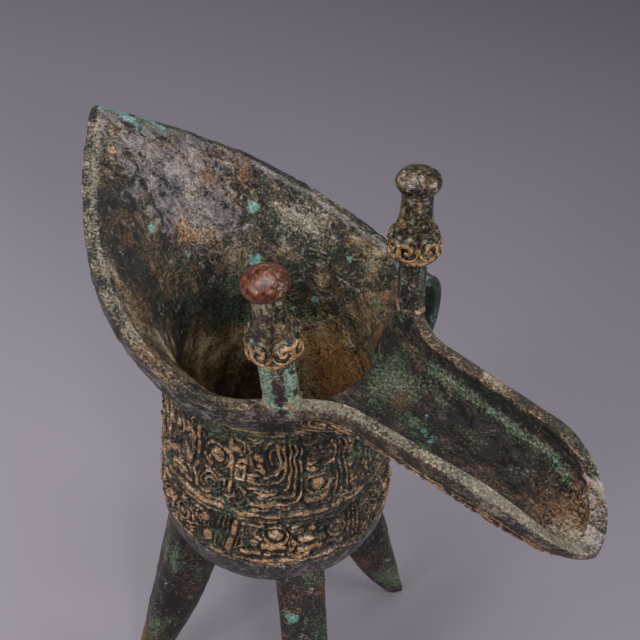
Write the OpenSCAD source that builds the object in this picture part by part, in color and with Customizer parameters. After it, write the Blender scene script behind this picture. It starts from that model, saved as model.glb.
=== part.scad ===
// Bronze jue: a three-legged wine vessel with a long spout, a leaf-shaped tail,
// two capped posts on the rim, a strap handle and two carved bands round the cup.
// Millimetres, +Z up, standing on the ground plane z = 0.
// Lengths along the spout are measured from the cup's axis: +X to the spout, -X to the tail.

/* [Cup] */
// Radius of the cup at its widest, over the carved bands
belly_r = 34.6; // [33:0.1:37]
// Height of the widest place above the bottom joint
belly_rise = 5; // [2:0.5:10]
// Radius of the neck, where the mouth begins to flare
neck_r = 31.4; // [30.6:0.1:32.6]
// Thickness of the cup's wall
wall = 3; // [2.6:0.1:3.6]
// Height of the joint between wall and bottom above the ground
stand_h = 84; // [76:1:96]
// Depth of the rounded bottom below its joint
bottom_depth = 24; // [20:1:28]
// Thickness of the rounded bottom
bottom_wall = 4; // [3.6:0.1:5]
// Bulge of the cup's side between its widest place and the neck, 1 is a straight cone
wall_bulge = 1.2; // [1:0.1:1.6]
// Height of the tongues that the cup's castings lap with
lap_h = 3; // [2:0.5:4]
// Gap left for solder in every lap and socket
fit_gap = 0.1; // [0.05:0.01:0.2]

/* [Carved bands] */
// Height of the lower band
lower_band_h = 18.2; // [16:0.1:22]
// Height of the upper band
upper_band_h = 31.7; // [28:0.1:36]
// Thickness of a band's plate
band_t = 1.2; // [1:0.1:1.4]
// Height that the carving stands out of the plate
relief = 0.9; // [0.5:0.1:1.4]
// Height of the plain shoulder above and below the bands
shoulder_h = 1; // [0.8:0.1:1.6]
// Number of masks round each band
masks = 6; // [4:1:8]
// Width of the upright rib in the middle of a mask
rib_w = 2.2; // [1.6:0.1:3]
// Radius of an eye
eye_r = 2.3; // [1.8:0.1:2.8]
// Width of the brow and the jaw beside the rib
brow_w = 7.5; // [5:0.1:8]

/* [Mouth] */
// Reach of the tail from the cup's axis
tail_reach = 72.5; // [66:0.5:80]
// Rise of the tail's tip above the neck
tail_rise = 51; // [44:1:58]
// Half of the mouth's greatest width
mouth_half = 43.4; // [41:0.1:46]
// Place of the greatest width ahead of the cup's axis
mouth_x = 6.5; // [4:0.5:9]
// Fullness of the tail's outline, larger is blunter
tail_full = 2.55; // [2.2:0.05:2.9]
// Rounding of the tail's tip
tip_round = 1.3; // [0.8:0.1:2]
// Rise of the rim's lowest place above the neck
rim_rise = 17.8; // [16:0.1:20]
// Place of the rim's lowest height ahead of the cup's axis
low_x = 20; // [16:1:24]
// Sweep of the rim up to the tail, larger rises later
tail_sweep = 1.75; // [1.5:0.05:2.1]
// How far the mouth has opened at the bend of its flare, 0 to 1
flare_out = 0.08; // [0:0.01:0.16]
// How high the bend of the flare lies, 0 to 1
flare_up = 0.62; // [0.58:0.01:0.68]
// Width of the flat top of the lip
lip_w = 3.6; // [3.2:0.1:4.2]
// Height of the plain lip strip on the outside
lip_h = 5; // [4:0.5:6]

/* [Spout] */
// Reach of the spout from the cup's axis
spout_reach = 110.5; // [104:0.5:118]
// Length over which the mouth narrows to the spout
narrow_len = 39.5; // [36:0.5:43]
// Half width of the spout where it leaves the mouth
spout_half = 19.3; // [18:0.1:21]
// Narrowing of that half width towards the nose
spout_taper = 2; // [0:0.1:3]
// Length of the rounded nose
nose_len = 28.5; // [24:0.5:32]
// Rise of the spout's side walls above the neck
spout_rise = 19.3; // [18:0.1:21]
// Rise of the nose's lip above the neck
nose_rise = 4; // [3:0.1:6]
// Thickness of the nose at its very front
nose_t = 2.6; // [2.2:0.1:3.6]
// How much wider the lip is at the front of the nose
nose_lip = 1.6; // [0:0.1:2.4]
// Depth of the trough at the cup
trough_depth = 11.5; // [10:0.1:13]
// Thickness of the spout's floor
floor_t = 3.6; // [3:0.1:4.2]
// Squareness of the trough's section outside, 1 is an ellipse and less is squarer
outer_square = 0.85; // [0.75:0.01:1]
// Squareness of the trough's section inside
inner_square = 0.7; // [0.6:0.01:0.8]

/* [Posts and caps] */
// Place of the posts ahead of the cup's axis, at the lip's outer edge
post_x = 30; // [28:0.5:32]
// Width of a post along the rim
post_w = 9.5; // [8.5:0.1:10.5]
// Thickness of a post across the rim
post_t = 7; // [6:0.1:7.6]
// Chamfer of a post's corners
post_chamfer = 2; // [1:0.1:2.4]
// Depth that a post is let into the lip
post_let = 3.5; // [3:0.1:4]
// Height of a post above the lowest place of the rim, to its cap
post_h = 16.8; // [12:0.2:22]
// Distance of the knobs from the cup's axis, along the spout
knob_x = 24.6; // [22:0.1:28]
// Distance of the knobs from the cup's axis, to each side
knob_y = 29.1; // [26:0.1:32]
// Height of a cap from its collar to the middle of its knob
cap_h = 23.2; // [22:0.2:28]
// Radius of the cap's knob
knob_r = 6.5; // [6:0.1:7.4]
// Half height of the knob
knob_half_h = 4.1; // [3.8:0.1:5]
// Radius of the cap's collar
collar_r = 7; // [6.6:0.1:7.6]
// Height of the collar
collar_h = 8; // [7:0.1:9]
// Radius of the neck under the knob
cap_neck_r = 4.3; // [4:0.1:4.8]
// Radius of the tenon on top of a post
tenon_r = 2.5; // [2:0.1:2.8]
// Height of that tenon
tenon_h = 6; // [4:0.5:7]

/* [Handle] */
// Direction of the handle from the cup's axis, in degrees from the spout
handle_a = 80; // [76:1:90]
// Width of the strap
strap_w = 10; // [8:0.5:12]
// Thickness of the strap
strap_t = 4; // [3:0.1:4.6]
// Reach of the strap beyond the cup's axis
handle_reach = 59.5; // [56:0.5:66]
// Height of the upper root above the upper band's foot
handle_top = 21; // [18:0.5:24]
// Height of the lower root above the lower band's foot
handle_foot = 11; // [9:0.5:12]
// Radius of the pegs on the strap's ends
peg_r = 1.8; // [1.5:0.1:2]
// Length of those pegs
peg_l = 1.2; // [1:0.1:1.3]

/* [Legs] */
// Direction of the leg by the handle, in degrees from the spout
leg_handle_a = 74; // [68:1:80]
// Direction of the leg under the tail
leg_tail_a = 235; // [228:1:238]
// Direction of the leg under the spout's near side
leg_spout_a = 328; // [322:1:334]
// Distance of a foot's outer edge from the cup's axis
foot_r = 51.5; // [46:0.5:56]
// How much nearer the tail-side foot stands, as it came from its mould
tail_foot_in = 2.5; // [0:0.5:4]
// Distance of a leg's outer edge at its root
root_r = 31.4; // [30:0.1:32.4]
// Depth of a leg at its root, towards the axis
leg_deep = 19.7; // [17:0.1:22]
// Depth of a leg at its foot
foot_deep = 5.8; // [4:0.1:7]
// Width of a leg at its root
leg_w = 15; // [13:0.1:17]
// Width of a leg at its foot
foot_w = 4.8; // [3:0.1:6]
// Outward bow of a leg's outer edge
leg_bow = 1.4; // [0:0.1:3]
// Radius of the pin that holds a leg to the bottom
pin_r = 3; // [2.4:0.1:3.4]
// Distance of that pin from the cup's axis
pin_at = 24; // [22:0.5:26]
// Depth of that pin in the bottom
pin_l = 2.6; // [2:0.1:2.8]

/* [Hidden] */
eps = 0.01;
fine = 128;
// Length over which one shape of the mouth runs into the next
blend_len = 20;

// Heights above the ground
lower_z = stand_h + shoulder_h;
upper_z = lower_z + lower_band_h + fit_gap;
neck_z = upper_z + upper_band_h + shoulder_h;
belly_z = stand_h + belly_rise;
rim_z0 = neck_z + rim_rise;
nose_x = spout_reach - nose_len;
root_x = mouth_x + narrow_len;
post_seat_z = rim_height(post_x) - post_let;
cap_z = rim_z0 + post_h;

// A smooth step from 0 to 1
function smooth(t) = let (c = min(1, max(0, t))) c * c * (3 - 2 * c);
function mix(a, b, t) = a + (b - a) * t;

// Outer radius of the carved wall at a height: fullest low down, drawn in to the neck
function wall_r(z) = belly_r - (belly_r - neck_r) * pow(
    max(0, (z - belly_z) / (neck_z - belly_z)), wall_bulge);

// Half width of the mouth's outline at a place along the spout, without the nose.
// The tip is rounded by widening the outline there, which dies away within tip_fade.
tip_fade = 8;
function tail_half(x) = let (
    u = min(1, max(0, (x + tail_reach) / (tail_reach + mouth_x))),
    y = mouth_half * (1 - pow(1 - u, tail_full))
  ) sqrt(y * y + 2 * tip_round * y * exp(-y / tip_fade));
function spout_side(x) = spout_half - spout_taper * max(0, (x - root_x) / (nose_x - root_x));
function rim_half(x) = x <= mouth_x ? tail_half(x)
  : mix(mouth_half, spout_side(x), smooth((x - mouth_x) / (root_x - mouth_x)));

// Height of the lip's top: high at the tail, lowest beside the posts, level along the spout
function rim_height(x) = neck_z + (x < low_x
  ? mix(rim_rise, tail_rise, pow((low_x - x) / (low_x + tail_reach), tail_sweep))
  : mix(rim_rise, spout_rise, smooth((x - low_x) / blend_len)));

// Direction of the outline, and how much a ray from the axis slants across the lip
near_x = 0.2;
function rim_dir(x) = atan2(rim_half(x + near_x) - rim_half(x - near_x), 2 * near_x);
function slant(x) = x <= -tail_reach + near_x ? 1
  : abs(sin(atan2(rim_half(x), x) - rim_dir(x)));

// A ray of the flared mouth runs up from the neck in an upright plane through the axis.
// Its curve leaves the neck upright and ends on the lip.
function bow(r0, r1, z1, s) = let (
    ra = mix(r0, r1, flare_out), za = mix(neck_z, z1, flare_up), q = 1 - s
  ) [q * q * r0 + 2 * q * s * ra + s * s * r1, q * q * neck_z + 2 * q * s * za + s * s * z1];
function ray_outer(x, n) = let (r1 = norm([x, rim_half(x)]), z1 = rim_height(x))
  [for (i = [0 : n - 1]) bow(neck_r, r1, z1 - lip_h, i / (n - 1)), [r1, z1]];
function turn(p, a) = [p[0] * cos(a), p[0] * sin(a), p[1]];

// Faces between closed rings of n points each, and the same faces turned inside out
function ring_faces(rings, n) = [
    for (j = [0 : rings - 2], i = [0 : n - 1])
      [j * n + i, j * n + (i + 1) % n, (j + 1) * n + (i + 1) % n, (j + 1) * n + i]
  ];
function flipped(faces) = [for (f = faces) [for (i = [len(f) - 1 : -1 : 0]) f[i]]];

// Outline of the bottom's outer bowl, as a half section
function bowl(r, depth, n) = [for (i = [0 : n])
    [r * sin(90 * i / n), stand_h - depth * cos(90 * i / n)]];
bowl_r = wall_r(stand_h);

module bowl_solid(r, depth) {
  rotate_extrude($fn = fine) polygon(concat(bowl(r, depth, 24), [[0, stand_h]]));
}

// The cup's wall: thin behind the bands, with a tongue that the mouth laps over
core_r = neck_r - wall / 2;
foot_lap_r = bowl_r - wall / 2;
wall_n = 12;
heights = [for (i = [0 : wall_n]) mix(lower_z, neck_z - shoulder_h, i / wall_n)];
module cup_wall() {
  color("#4b4636") translate([cup_x, cup_y, 0]) difference() {
    rotate_extrude($fn = fine) polygon(concat(
      [[foot_lap_r + fit_gap, stand_h], [bowl_r, stand_h], [bowl_r, lower_z]],
      [for (z = heights) [wall_r(z) - band_t, z]],
      [[neck_r, neck_z - shoulder_h], [neck_r, neck_z],
       [core_r, neck_z], [core_r, neck_z + lap_h - fit_gap],
       [neck_r - wall, neck_z + lap_h - fit_gap]],
      [for (i = [wall_n : -1 : 1]) [wall_r(heights[i]) - wall, heights[i]]],
      [[wall_r(stand_h + lap_h) - wall, stand_h + lap_h + fit_gap],
       [foot_lap_r + fit_gap, stand_h + lap_h + fit_gap]]
    ));
    handle_pegs(fit_gap);
  }
}

// The rounded bottom, with a tongue inside the wall and three sockets for the legs
module cup_bottom() {
  color("#3f3a30") translate([cup_x, cup_y, 0]) difference() {
    union() {
      bowl_solid(bowl_r, bottom_depth);
      translate([0, 0, stand_h - eps]) cylinder(r = foot_lap_r, h = lap_h + eps, $fn = fine);
    }
    bowl_solid(bowl_r - bottom_wall, bottom_depth - bottom_wall);
    translate([0, 0, stand_h - eps])
      cylinder(r = bowl_r - wall, h = lap_h + 2 * eps, $fn = fine);
    for (a = [leg_handle_a, leg_tail_a, leg_spout_a]) rotate([0, 0, a]) leg_pin(fit_gap);
  }
}

// One carved band: a plate with raised edges, masks with ribs, eyes, brows and jaws
edge_h = 1.3;
sunk = 0.3;
module band_plate(z0, h) {
  n = 5;
  zs = [for (i = [0 : n]) z0 + h * i / n];
  rotate_extrude($fn = 96) polygon(concat(
    [for (z = zs) [wall_r(z) - band_t, z]],
    [[wall_r(z0 + h) + relief / 2, z0 + h],
     [wall_r(z0 + h - edge_h) + relief / 2, z0 + h - edge_h],
     [wall_r(z0 + h - edge_h) - relief / 2, z0 + h - edge_h]],
    [for (i = [n - 1 : -1 : 1]) [wall_r(zs[i]) - relief / 2, zs[i]]],
    [[wall_r(z0 + edge_h) - relief / 2, z0 + edge_h],
     [wall_r(z0 + edge_h) + relief / 2, z0 + edge_h],
     [wall_r(z0) + relief / 2, z0]]
  ));
}
module at_wall(z, a, out) {
  rotate([0, 0, a]) translate([wall_r(z) - relief / 2 + out, 0, z]) children();
}
module bar(z, a, w, h) {
  at_wall(z, a, -sunk) translate([0, -w / 2, -h / 2]) cube([relief + sunk, w, h]);
}
module eye(z, a) {
  at_wall(z, a, -sunk) rotate([0, 90, 0]) rotate_extrude($fn = 24) polygon([
    [0, 0], [eye_r, 0], [eye_r, sunk], [eye_r * 0.8, sunk + relief * 0.7],
    [eye_r * 0.4, sunk + relief * 1.1], [0, sunk + relief * 1.2]
  ]);
}
module mask(z0, h, a) {
  pitch = 360 / masks;
  mid = z0 + h / 2;
  bar(mid, a, rib_w, h * 0.72);
  for (s = [-1, 1]) {
    eye(mid, a + s * pitch * 0.2);
    bar(z0 + h * 0.76, a + s * pitch * 0.2, brow_w, h * 0.09);
    bar(z0 + h * 0.24, a + s * pitch * 0.2, brow_w, h * 0.09);
    bar(mid, a + s * pitch * 0.4, rib_w * 0.9, h * 0.5);
  }
}
module carved_band(z0, h, root_z) {
  translate([cup_x, cup_y, 0]) difference() {
    union() {
      band_plate(z0, h);
      for (i = [0 : masks - 1]) mask(z0, h, handle_a + 360 * (i + 0.5) / masks);
    }
    handle_root(root_z, fit_gap);
  }
}
module lower_band() { color("#574c38") carved_band(lower_z, lower_band_h, foot_root_z); }
module upper_band() { color("#5a4f3a") carved_band(upper_z, upper_band_h, top_root_z); }

// The tail and the flared sides of the mouth, one shell from post to post round the back
ray_n = 8;
tail_n = 26;
seam_a = atan2(rim_half(post_x), post_x);
tail_xs = [for (i = [0 : tail_n]) mix(-tail_reach, post_x, pow(1 - i / tail_n, 1.8))];
module tail() {
  xs = tail_xs;
  loops = concat(
    [for (x = xs) ray_loop(x, atan2(rim_half(x), x))],
    [for (i = [tail_n - 1 : -1 : 0]) ray_loop(xs[i], -atan2(rim_half(xs[i]), xs[i]))]
  );
  n = len(loops[0]);
  last = len(loops) - 1;
  color("#4a4334") translate([cup_x, cup_y, 0]) difference() {
    polyhedron([for (l = loops, p = l) p], concat(
      ring_faces(len(loops), n),
      [[for (i = [n - 1 : -1 : 0]) i], [for (i = [0 : n - 1]) last * n + i]]
    ), convexity = 8);
    neck_lap();
    post_let_in();
  }
}
function ray_loop(x, a) = let (o = ray_outer(x, ray_n), i = seam_inner(x))
  concat([for (p = o) turn(p, a)], [for (k = [len(i) - 1 : -1 : 0]) turn(i[k], a)]);

// The inner curve is cut at the height of the spout's floor, so that tail and spout meet there
trough_z = neck_z + spout_rise - trough_depth;
function floor_s(x) = let (
    h = rim_height(x) - neck_z, b = 2 * flare_up * h, a = h - b, c = neck_z - trough_z
  ) (-b + sqrt(b * b - 4 * a * c)) / (2 * a);
function seam_inner(x) = let (
    r1 = norm([x, rim_half(x)]) - lip_w / slant(x), z1 = rim_height(x), s0 = floor_s(x)
  ) concat([bow(neck_r - wall, r1, z1, 0)],
    [for (i = [0 : ray_n]) bow(neck_r - wall, r1, z1, mix(s0, 1, i / ray_n))]);

// The mouth's castings are cut back to sit over the wall's tongue and round the posts' feet
module neck_lap() {
  translate([0, 0, neck_z - 1]) cylinder(r = core_r + fit_gap, h = lap_h + 1, $fn = fine);
}
module post_let_in() {
  for (s = [0, 1]) mirror([0, s, 0]) post_axis() post_shaft(post_h, fit_gap);
}

// The spout: a trough that starts on the neck's front and on the seams under the posts.
// Columns run across from one lip over the floor to the other, rows run out to the nose.
arc_n = 7;
col_n = arc_n + ray_n;
row_n = 12;
nose_n = 9;
function keel_z(x) = let (t = (x - neck_r) / (spout_reach - neck_r))
  mix(trough_z, neck_z + nose_rise - 1, t * t) - floor_t;
// Start of the outer and the inner skin at column k
function start_outer(k) = let (c = abs(k), s = sign(k))
  c <= arc_n ? turn([neck_r, neck_z], seam_a * k / arc_n)
  : turn(ray_outer(post_x, ray_n)[c - arc_n], s * seam_a);
function start_inner(k) = let (c = abs(k), s = sign(k), e = seam_inner(post_x))
  c <= arc_n ? turn(e[1], seam_a * k / arc_n) : turn(e[c - arc_n + 1], s * seam_a);
function start_sill(k) = let (c = abs(k), o = start_outer(k), i = start_inner(k))
  c <= arc_n ? turn([neck_r - wall, neck_z], seam_a * k / arc_n) : (o + i) / 2;
// Cross-section of a trough: a rounded U, w wide to each side and d deep
function trough(k, w, d, square) = let (a = 90 * abs(k) / col_n)
  [sign(k) * w * pow(sin(a), square), -d * pow(cos(a), square)];
// A point of a skin: the outer skin has no inset and no lift, the inner one both.
// Within blend_len it changes from the shape of the start to the trough.
function side_point(start, k, j, inset, lift, square) = let (
    x = mix(start.x, nose_x, j / row_n),
    z = rim_height(x),
    w = rim_half(x) - inset / max(0.5, cos(rim_dir(x))),
    u = trough(k, w, z - keel_z(x) - lift, square),
    m = smooth((x - start.x) / blend_len)
  ) [x, mix(start.y * rim_half(x) / rim_half(start.x), u[0], m),
     mix(start.z + z - rim_height(start.x), z + u[1], m)];
// The same round the nose, whose lip sinks and widens to a low outlet at the front
nose_end_a = 87;
outlet_form = 2.2;
outlet_depth = 0.8;
function nose_point(k, j, inset, lift, square) = let (
    a = nose_end_a * j / nose_n,
    x = nose_x + (nose_len - inset * (1 + nose_lip / lip_w * sin(a) * sin(a))) * sin(a),
    w = (rim_half(nose_x) - inset) * cos(a),
    z = neck_z + mix(spout_rise, nose_rise, pow(sin(a), outlet_form)),
    full = z - keel_z(x) - lift,
    d = lift > 0 ? max(outlet_depth, full) : mix(full, nose_t, pow(1 - cos(a), 2)),
    u = trough(k, w, d, square)
  ) [x, u[0], z + u[1]];
function skin_point(start, k, j, inset, lift, square) = j <= row_n
  ? side_point(start, k, j, inset, lift, square)
  : nose_point(k, j - row_n, inset, lift, square);
function spout_loop(j) = concat(
    [for (k = [-col_n : col_n]) skin_point(start_outer(k), k, j, 0, 0, outer_square)],
    [for (k = [col_n : -1 : -col_n]) skin_point(start_inner(k), k, j, lip_w, floor_t, inner_square)]
  );
// Closes the nose between its left and its right half
function nose_faces(first, c) = let (mid = first + (c - 1) / 2) concat(
    [[mid - 1, mid, mid + 1]],
    [for (k = [1 : (c - 3) / 2]) [mid - k - 1, mid - k, mid + k, mid + k + 1]]
  );
module spout() {
  rows = row_n + nose_n + 1;
  c = 2 * col_n + 1;
  n = 2 * c;
  sills = [for (k = [1 - col_n : col_n - 1]) start_sill(k)];
  base = rows * n;
  last = (rows - 1) * n;
  loops = [for (j = [0 : rows - 1]) spout_loop(j)];
  // Outer point, inner point and sill point of column k at the start
  function o(k) = k;
  function i(k) = n - 1 - k;
  function q(k) = base + k - 1;
  color("#453f33") translate([cup_x, cup_y, 0]) difference() {
    polyhedron(concat([for (l = loops, p = l) p], sills), flipped(concat(
      ring_faces(rows, n),
      [for (k = [1 : c - 3]) [o(k + 1), o(k), q(k), q(k + 1)]],
      [for (k = [1 : c - 3]) [q(k + 1), q(k), i(k), i(k + 1)]],
      [[o(1), o(0), i(0), q(1)], [q(1), i(0), i(1)],
       [o(c - 1), o(c - 2), q(c - 2), i(c - 1)], [i(c - 1), q(c - 2), i(c - 2)]],
      [[last + c - 1, last + c, last + n - 1, last]],
      nose_faces(last, c), nose_faces(last + c, c)
    )), convexity = 8);
    neck_lap();
    post_let_in();
  }
}

// A post stands on the seam of tail and spout, its outer face flush with the lip
post_foot = turn([norm([post_x, rim_half(post_x)]) - post_t / 2, post_seat_z], seam_a);
knob_top = [knob_x, knob_y, cap_z + cap_h];
lean = knob_top - post_foot;
lean_a = atan2(lean.y, lean.x);
post_len = norm(lean) - cap_h;
module post_axis() {
  translate(post_foot) rotate([0, atan2(norm([lean.x, lean.y]), lean.z), lean_a])
    rotate([0, 0, rim_dir(post_x) - lean_a]) children();
}
module post_shaft(h, grow) {
  a = post_w / 2 + grow;
  b = post_t / 2 + grow;
  c = post_chamfer;
  linear_extrude(h) polygon([
    [-a, c - b], [c - a, -b], [a - c, -b], [a, c - b],
    [a, b - c], [a - c, b], [c - a, b], [-a, b - c]
  ]);
}
module post() {
  post_axis() {
    post_shaft(post_len, 0);
    translate([0, 0, post_len - eps]) cylinder(r = tenon_r, h = tenon_h + eps, $fn = 48);
  }
}
module near_post() { color("#5b5f4c") translate([cup_x, cup_y, 0]) mirror([0, 1, 0]) post(); }
module far_post() { color("#5b5f4c") translate([cup_x, cup_y, 0]) post(); }

// A cap is a turned knob on a waisted neck, over a collar with scrolls on four sides.
// Each side has two scrolls, one to each side of its middle.
bead = 1.2;
scroll_a = 27;
scroll_t = 2.6;
scroll_out = 0.45;
scroll_r = collar_h * 0.4;
scroll_z = collar_h * 0.68;
module cap() {
  knob = [for (i = [0 : 12]) let (a = -60 + 150 * i / 12)
    [knob_r * cos(a), cap_h + knob_half_h * sin(a)]];
  waist_z = knob[0].y - 1;
  waist_foot = collar_r - bead;
  post_axis() translate([0, 0, post_len]) difference() {
    union() {
      rotate_extrude($fn = 64) polygon(concat(
        [[0, 0], [collar_r - bead, 0], [collar_r, bead], [collar_r - bead / 2, 2 * bead],
         [waist_foot, 4 * bead]],
        [for (i = [0 : 8]) let (t = i / 8)
          [mix(waist_foot, cap_neck_r, 1 - pow(1 - t, 2)), mix(collar_h, waist_z, t)]],
        knob,
        [[0, cap_h + knob_half_h]]
      ));
      for (a = [0 : 90 : 270], s = [-1, 1]) rotate([0, 0, a + scroll_a * s])
        translate([collar_r + scroll_out - scroll_t, 0, scroll_z])
          rotate([0, 90, 0]) cylinder(r = scroll_r, h = scroll_t, $fn = 32);
    }
    translate([0, 0, -eps]) cylinder(r = tenon_r + fit_gap, h = tenon_h + fit_gap + eps, $fn = 48);
  }
}
module near_cap() { color("#6b4a38") translate([cup_x, cup_y, 0]) mirror([0, 1, 0]) cap(); }
module far_cap() { color("#5c5138") translate([cup_x, cup_y, 0]) cap(); }

// The handle is a strap bowed out from the upper to the lower band.
// Its middle line is given in the upright plane of the handle, as distance and height.
top_root_z = upper_z + handle_top;
foot_root_z = lower_z + handle_foot;
strap_line = [
  [wall_r(top_root_z) - band_t, top_root_z],
  [neck_r + 8, top_root_z + 8],
  [handle_reach - 13, top_root_z + 16.5],
  [handle_reach - 4.2, top_root_z + 14],
  [handle_reach - strap_t / 2, top_root_z + 5],
  [handle_reach - 5.5, top_root_z - 9],
  [handle_reach - 16, foot_root_z + 6],
  [belly_r + 3, foot_root_z + 0.5],
  [wall_r(foot_root_z) - band_t, foot_root_z]
];
// A smooth curve through those points, and its two offset sides
function spline(p, i, t) = let (
    a = p[max(0, i - 1)], b = p[i], c = p[i + 1], d = p[min(len(p) - 1, i + 2)]
  ) 0.5 * (2 * b + (c - a) * t + (2 * a - 5 * b + 4 * c - d) * t * t
    + (3 * b - a - 3 * c + d) * t * t * t);
function strap_pts() = concat(
  [for (i = [0 : len(strap_line) - 2], j = [0 : 4]) spline(strap_line, i, j / 5)],
  [strap_line[len(strap_line) - 1]]);
function strap_side(p, off) = [for (i = [0 : len(p) - 1]) let (
    d = p[min(len(p) - 1, i + 1)] - p[max(0, i - 1)], n = [-d.y, d.x] / norm(d)
  ) p[i] + off * n];
function strap_outline() = let (p = strap_pts(), b = strap_side(p, -strap_t / 2))
  concat(strap_side(p, strap_t / 2), [for (i = [len(b) - 1 : -1 : 0]) b[i]]);

// The part stands with the middle of its box over the origin
handle_span = max([for (p = strap_outline()) p.x * sin(handle_a)]) + strap_w / 2 * cos(handle_a);
cup_x = (tail_reach - spout_reach) / 2;
cup_y = (mouth_half - handle_span) / 2;

// Each root is a block twice the strap's thickness, let into the bands
block_out = 3.5;
let_in = 5;
module handle_pegs(grow) {
  for (z = [top_root_z, foot_root_z]) rotate([0, 0, handle_a])
    translate([wall_r(z) - band_t - peg_l - grow, 0, z]) rotate([0, 90, 0])
      cylinder(r = peg_r + grow, h = peg_l + block_out, $fn = 32);
}
module handle_root(z, grow) {
  rotate([0, 0, handle_a])
    translate([neck_r - wall, -strap_w / 2 - grow, z - strap_t - grow])
      cube([2 * wall + let_in, strap_w + 2 * grow, 2 * (strap_t + grow)]);
}
module wall_core() {
  rotate_extrude($fn = fine) polygon(concat(
    [[0, lower_z]],
    [for (z = heights) [wall_r(z) - band_t + fit_gap, z]],
    [[0, neck_z - shoulder_h]]
  ));
}
module handle() {
  color("#42493a") translate([cup_x, cup_y, 0]) {
    difference() {
      union() {
        rotate([0, 0, handle_a]) rotate([90, 0, 0])
          linear_extrude(strap_w, center = true) polygon(strap_outline());
        for (z = [top_root_z, foot_root_z]) rotate([0, 0, handle_a])
          translate([wall_r(z) - band_t - 1, -strap_w / 2, z - strap_t])
            cube([1 + block_out, strap_w, 2 * strap_t]);
      }
      wall_core();
    }
    handle_pegs(0);
  }
}

// A small animal head soldered on the strap's upper bend: plate, snout, eyes and horns
mask_l = 9;
mask_w = 8;
mask_t = 2.4;
snout_r = 1.6;
horn_r = 1.2;
solder = 0.35;
module handle_mask() {
  seat = spline(strap_line, 1, 0.5);
  rise = atan2(strap_line[2].y - strap_line[1].y, strap_line[2].x - strap_line[1].x);
  color("#4d4a38") translate([cup_x, cup_y, 0]) rotate([0, 0, handle_a])
    translate([seat.x, 0, seat.y]) rotate([0, -rise, 0])
      translate([0, 0, strap_t / 2 + solder]) {
        translate([-mask_l / 2, -mask_w / 2, 0]) cube([mask_l, mask_w, mask_t]);
        translate([mask_l / 2 - 3, 0, snout_r]) rotate([0, 90, 0])
          cylinder(r = snout_r, h = 5, $fn = 32);
        for (s = [-1, 1]) {
          translate([0, mask_w / 3 * s, mask_t]) sphere(r = horn_r, $fn = 32);
          translate([horn_r - mask_l / 2, (mask_w / 2 - horn_r) * s, mask_t / 2])
            rotate([0, -20, 0]) cylinder(r = horn_r, h = 4, $fn = 32);
        }
      }
}

// A leg is a blade: a flat outer face, full flanks and a ridge inside, bowed out to its foot.
// Its eight corners are given as shares of its depth and of its half width.
leg_rows = 14;
leg_top = stand_h - shoulder_h / 2;
function leg_ring(t, foot) = let (
    z = leg_top * (1 - t),
    r = root_r + (foot - root_r - leg_bow) * t + leg_bow * t * t,
    k = 1 - t * t * t,
    d = foot_deep + (leg_deep - foot_deep) * k,
    h = (foot_w + (leg_w - foot_w) * k) / 2
  ) [[r, h / 2, z], [r - 0.15 * d, h, z], [r - 0.65 * d, 0.8 * h, z], [r - 0.95 * d, 0.25 * h, z],
     [r - 0.95 * d, -0.25 * h, z], [r - 0.65 * d, -0.8 * h, z], [r - 0.15 * d, -h, z], [r, -h / 2, z]];
// The pin stands square to the bowl at its distance from the axis
pin_z = stand_h - bottom_depth * sqrt(1 - pow(pin_at / bowl_r, 2));
pin_tilt = atan2(pin_at / (bowl_r * bowl_r), (stand_h - pin_z) / (bottom_depth * bottom_depth));
module leg_pin(grow) {
  translate([pin_at, 0, pin_z]) rotate([0, -pin_tilt, 0]) translate([0, 0, -pin_r])
    cylinder(r = pin_r + grow, h = pin_r + pin_l + grow, $fn = 48);
}
module leg(a, foot) {
  rings = [for (i = [0 : leg_rows]) leg_ring(i / leg_rows, foot)];
  n = len(rings[0]);
  last = leg_rows * n;
  color("#433b31") translate([cup_x, cup_y, 0]) rotate([0, 0, a]) union() {
    difference() {
      polyhedron([for (r = rings, p = r) p], concat(
        ring_faces(leg_rows + 1, n),
        [[for (i = [n - 1 : -1 : 0]) i], [for (i = [0 : n - 1]) last + i]]
      ), convexity = 4);
      bowl_solid(bowl_r, bottom_depth);
    }
    leg_pin(0);
  }
}
module leg_handle_side() { leg(leg_handle_a, foot_r); }
module leg_tail_side() { leg(leg_tail_a, foot_r - tail_foot_in); }
module leg_spout_side() { leg(leg_spout_a, foot_r); }

cup_wall();
cup_bottom();
lower_band();
upper_band();
tail();
spout();
near_post();
far_post();
near_cap();
far_cap();
handle();
handle_mask();
leg_handle_side();
leg_tail_side();
leg_spout_side();
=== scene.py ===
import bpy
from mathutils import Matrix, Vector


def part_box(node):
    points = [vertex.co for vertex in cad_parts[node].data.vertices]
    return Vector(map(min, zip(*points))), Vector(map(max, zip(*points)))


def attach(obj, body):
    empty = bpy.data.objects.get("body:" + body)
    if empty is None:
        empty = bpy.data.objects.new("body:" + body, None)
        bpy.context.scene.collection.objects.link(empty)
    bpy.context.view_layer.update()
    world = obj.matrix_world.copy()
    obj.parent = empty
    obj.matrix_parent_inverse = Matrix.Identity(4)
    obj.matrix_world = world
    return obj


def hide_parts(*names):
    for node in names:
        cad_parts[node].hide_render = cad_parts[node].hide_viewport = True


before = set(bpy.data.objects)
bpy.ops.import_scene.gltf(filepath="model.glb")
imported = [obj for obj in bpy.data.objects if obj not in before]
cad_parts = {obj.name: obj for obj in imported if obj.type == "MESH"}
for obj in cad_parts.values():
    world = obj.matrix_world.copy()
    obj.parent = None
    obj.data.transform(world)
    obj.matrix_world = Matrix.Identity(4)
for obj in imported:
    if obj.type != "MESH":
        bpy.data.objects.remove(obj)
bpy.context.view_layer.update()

import math
import bmesh
import bpy
import numpy as np
from mathutils import Matrix, Vector

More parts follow.
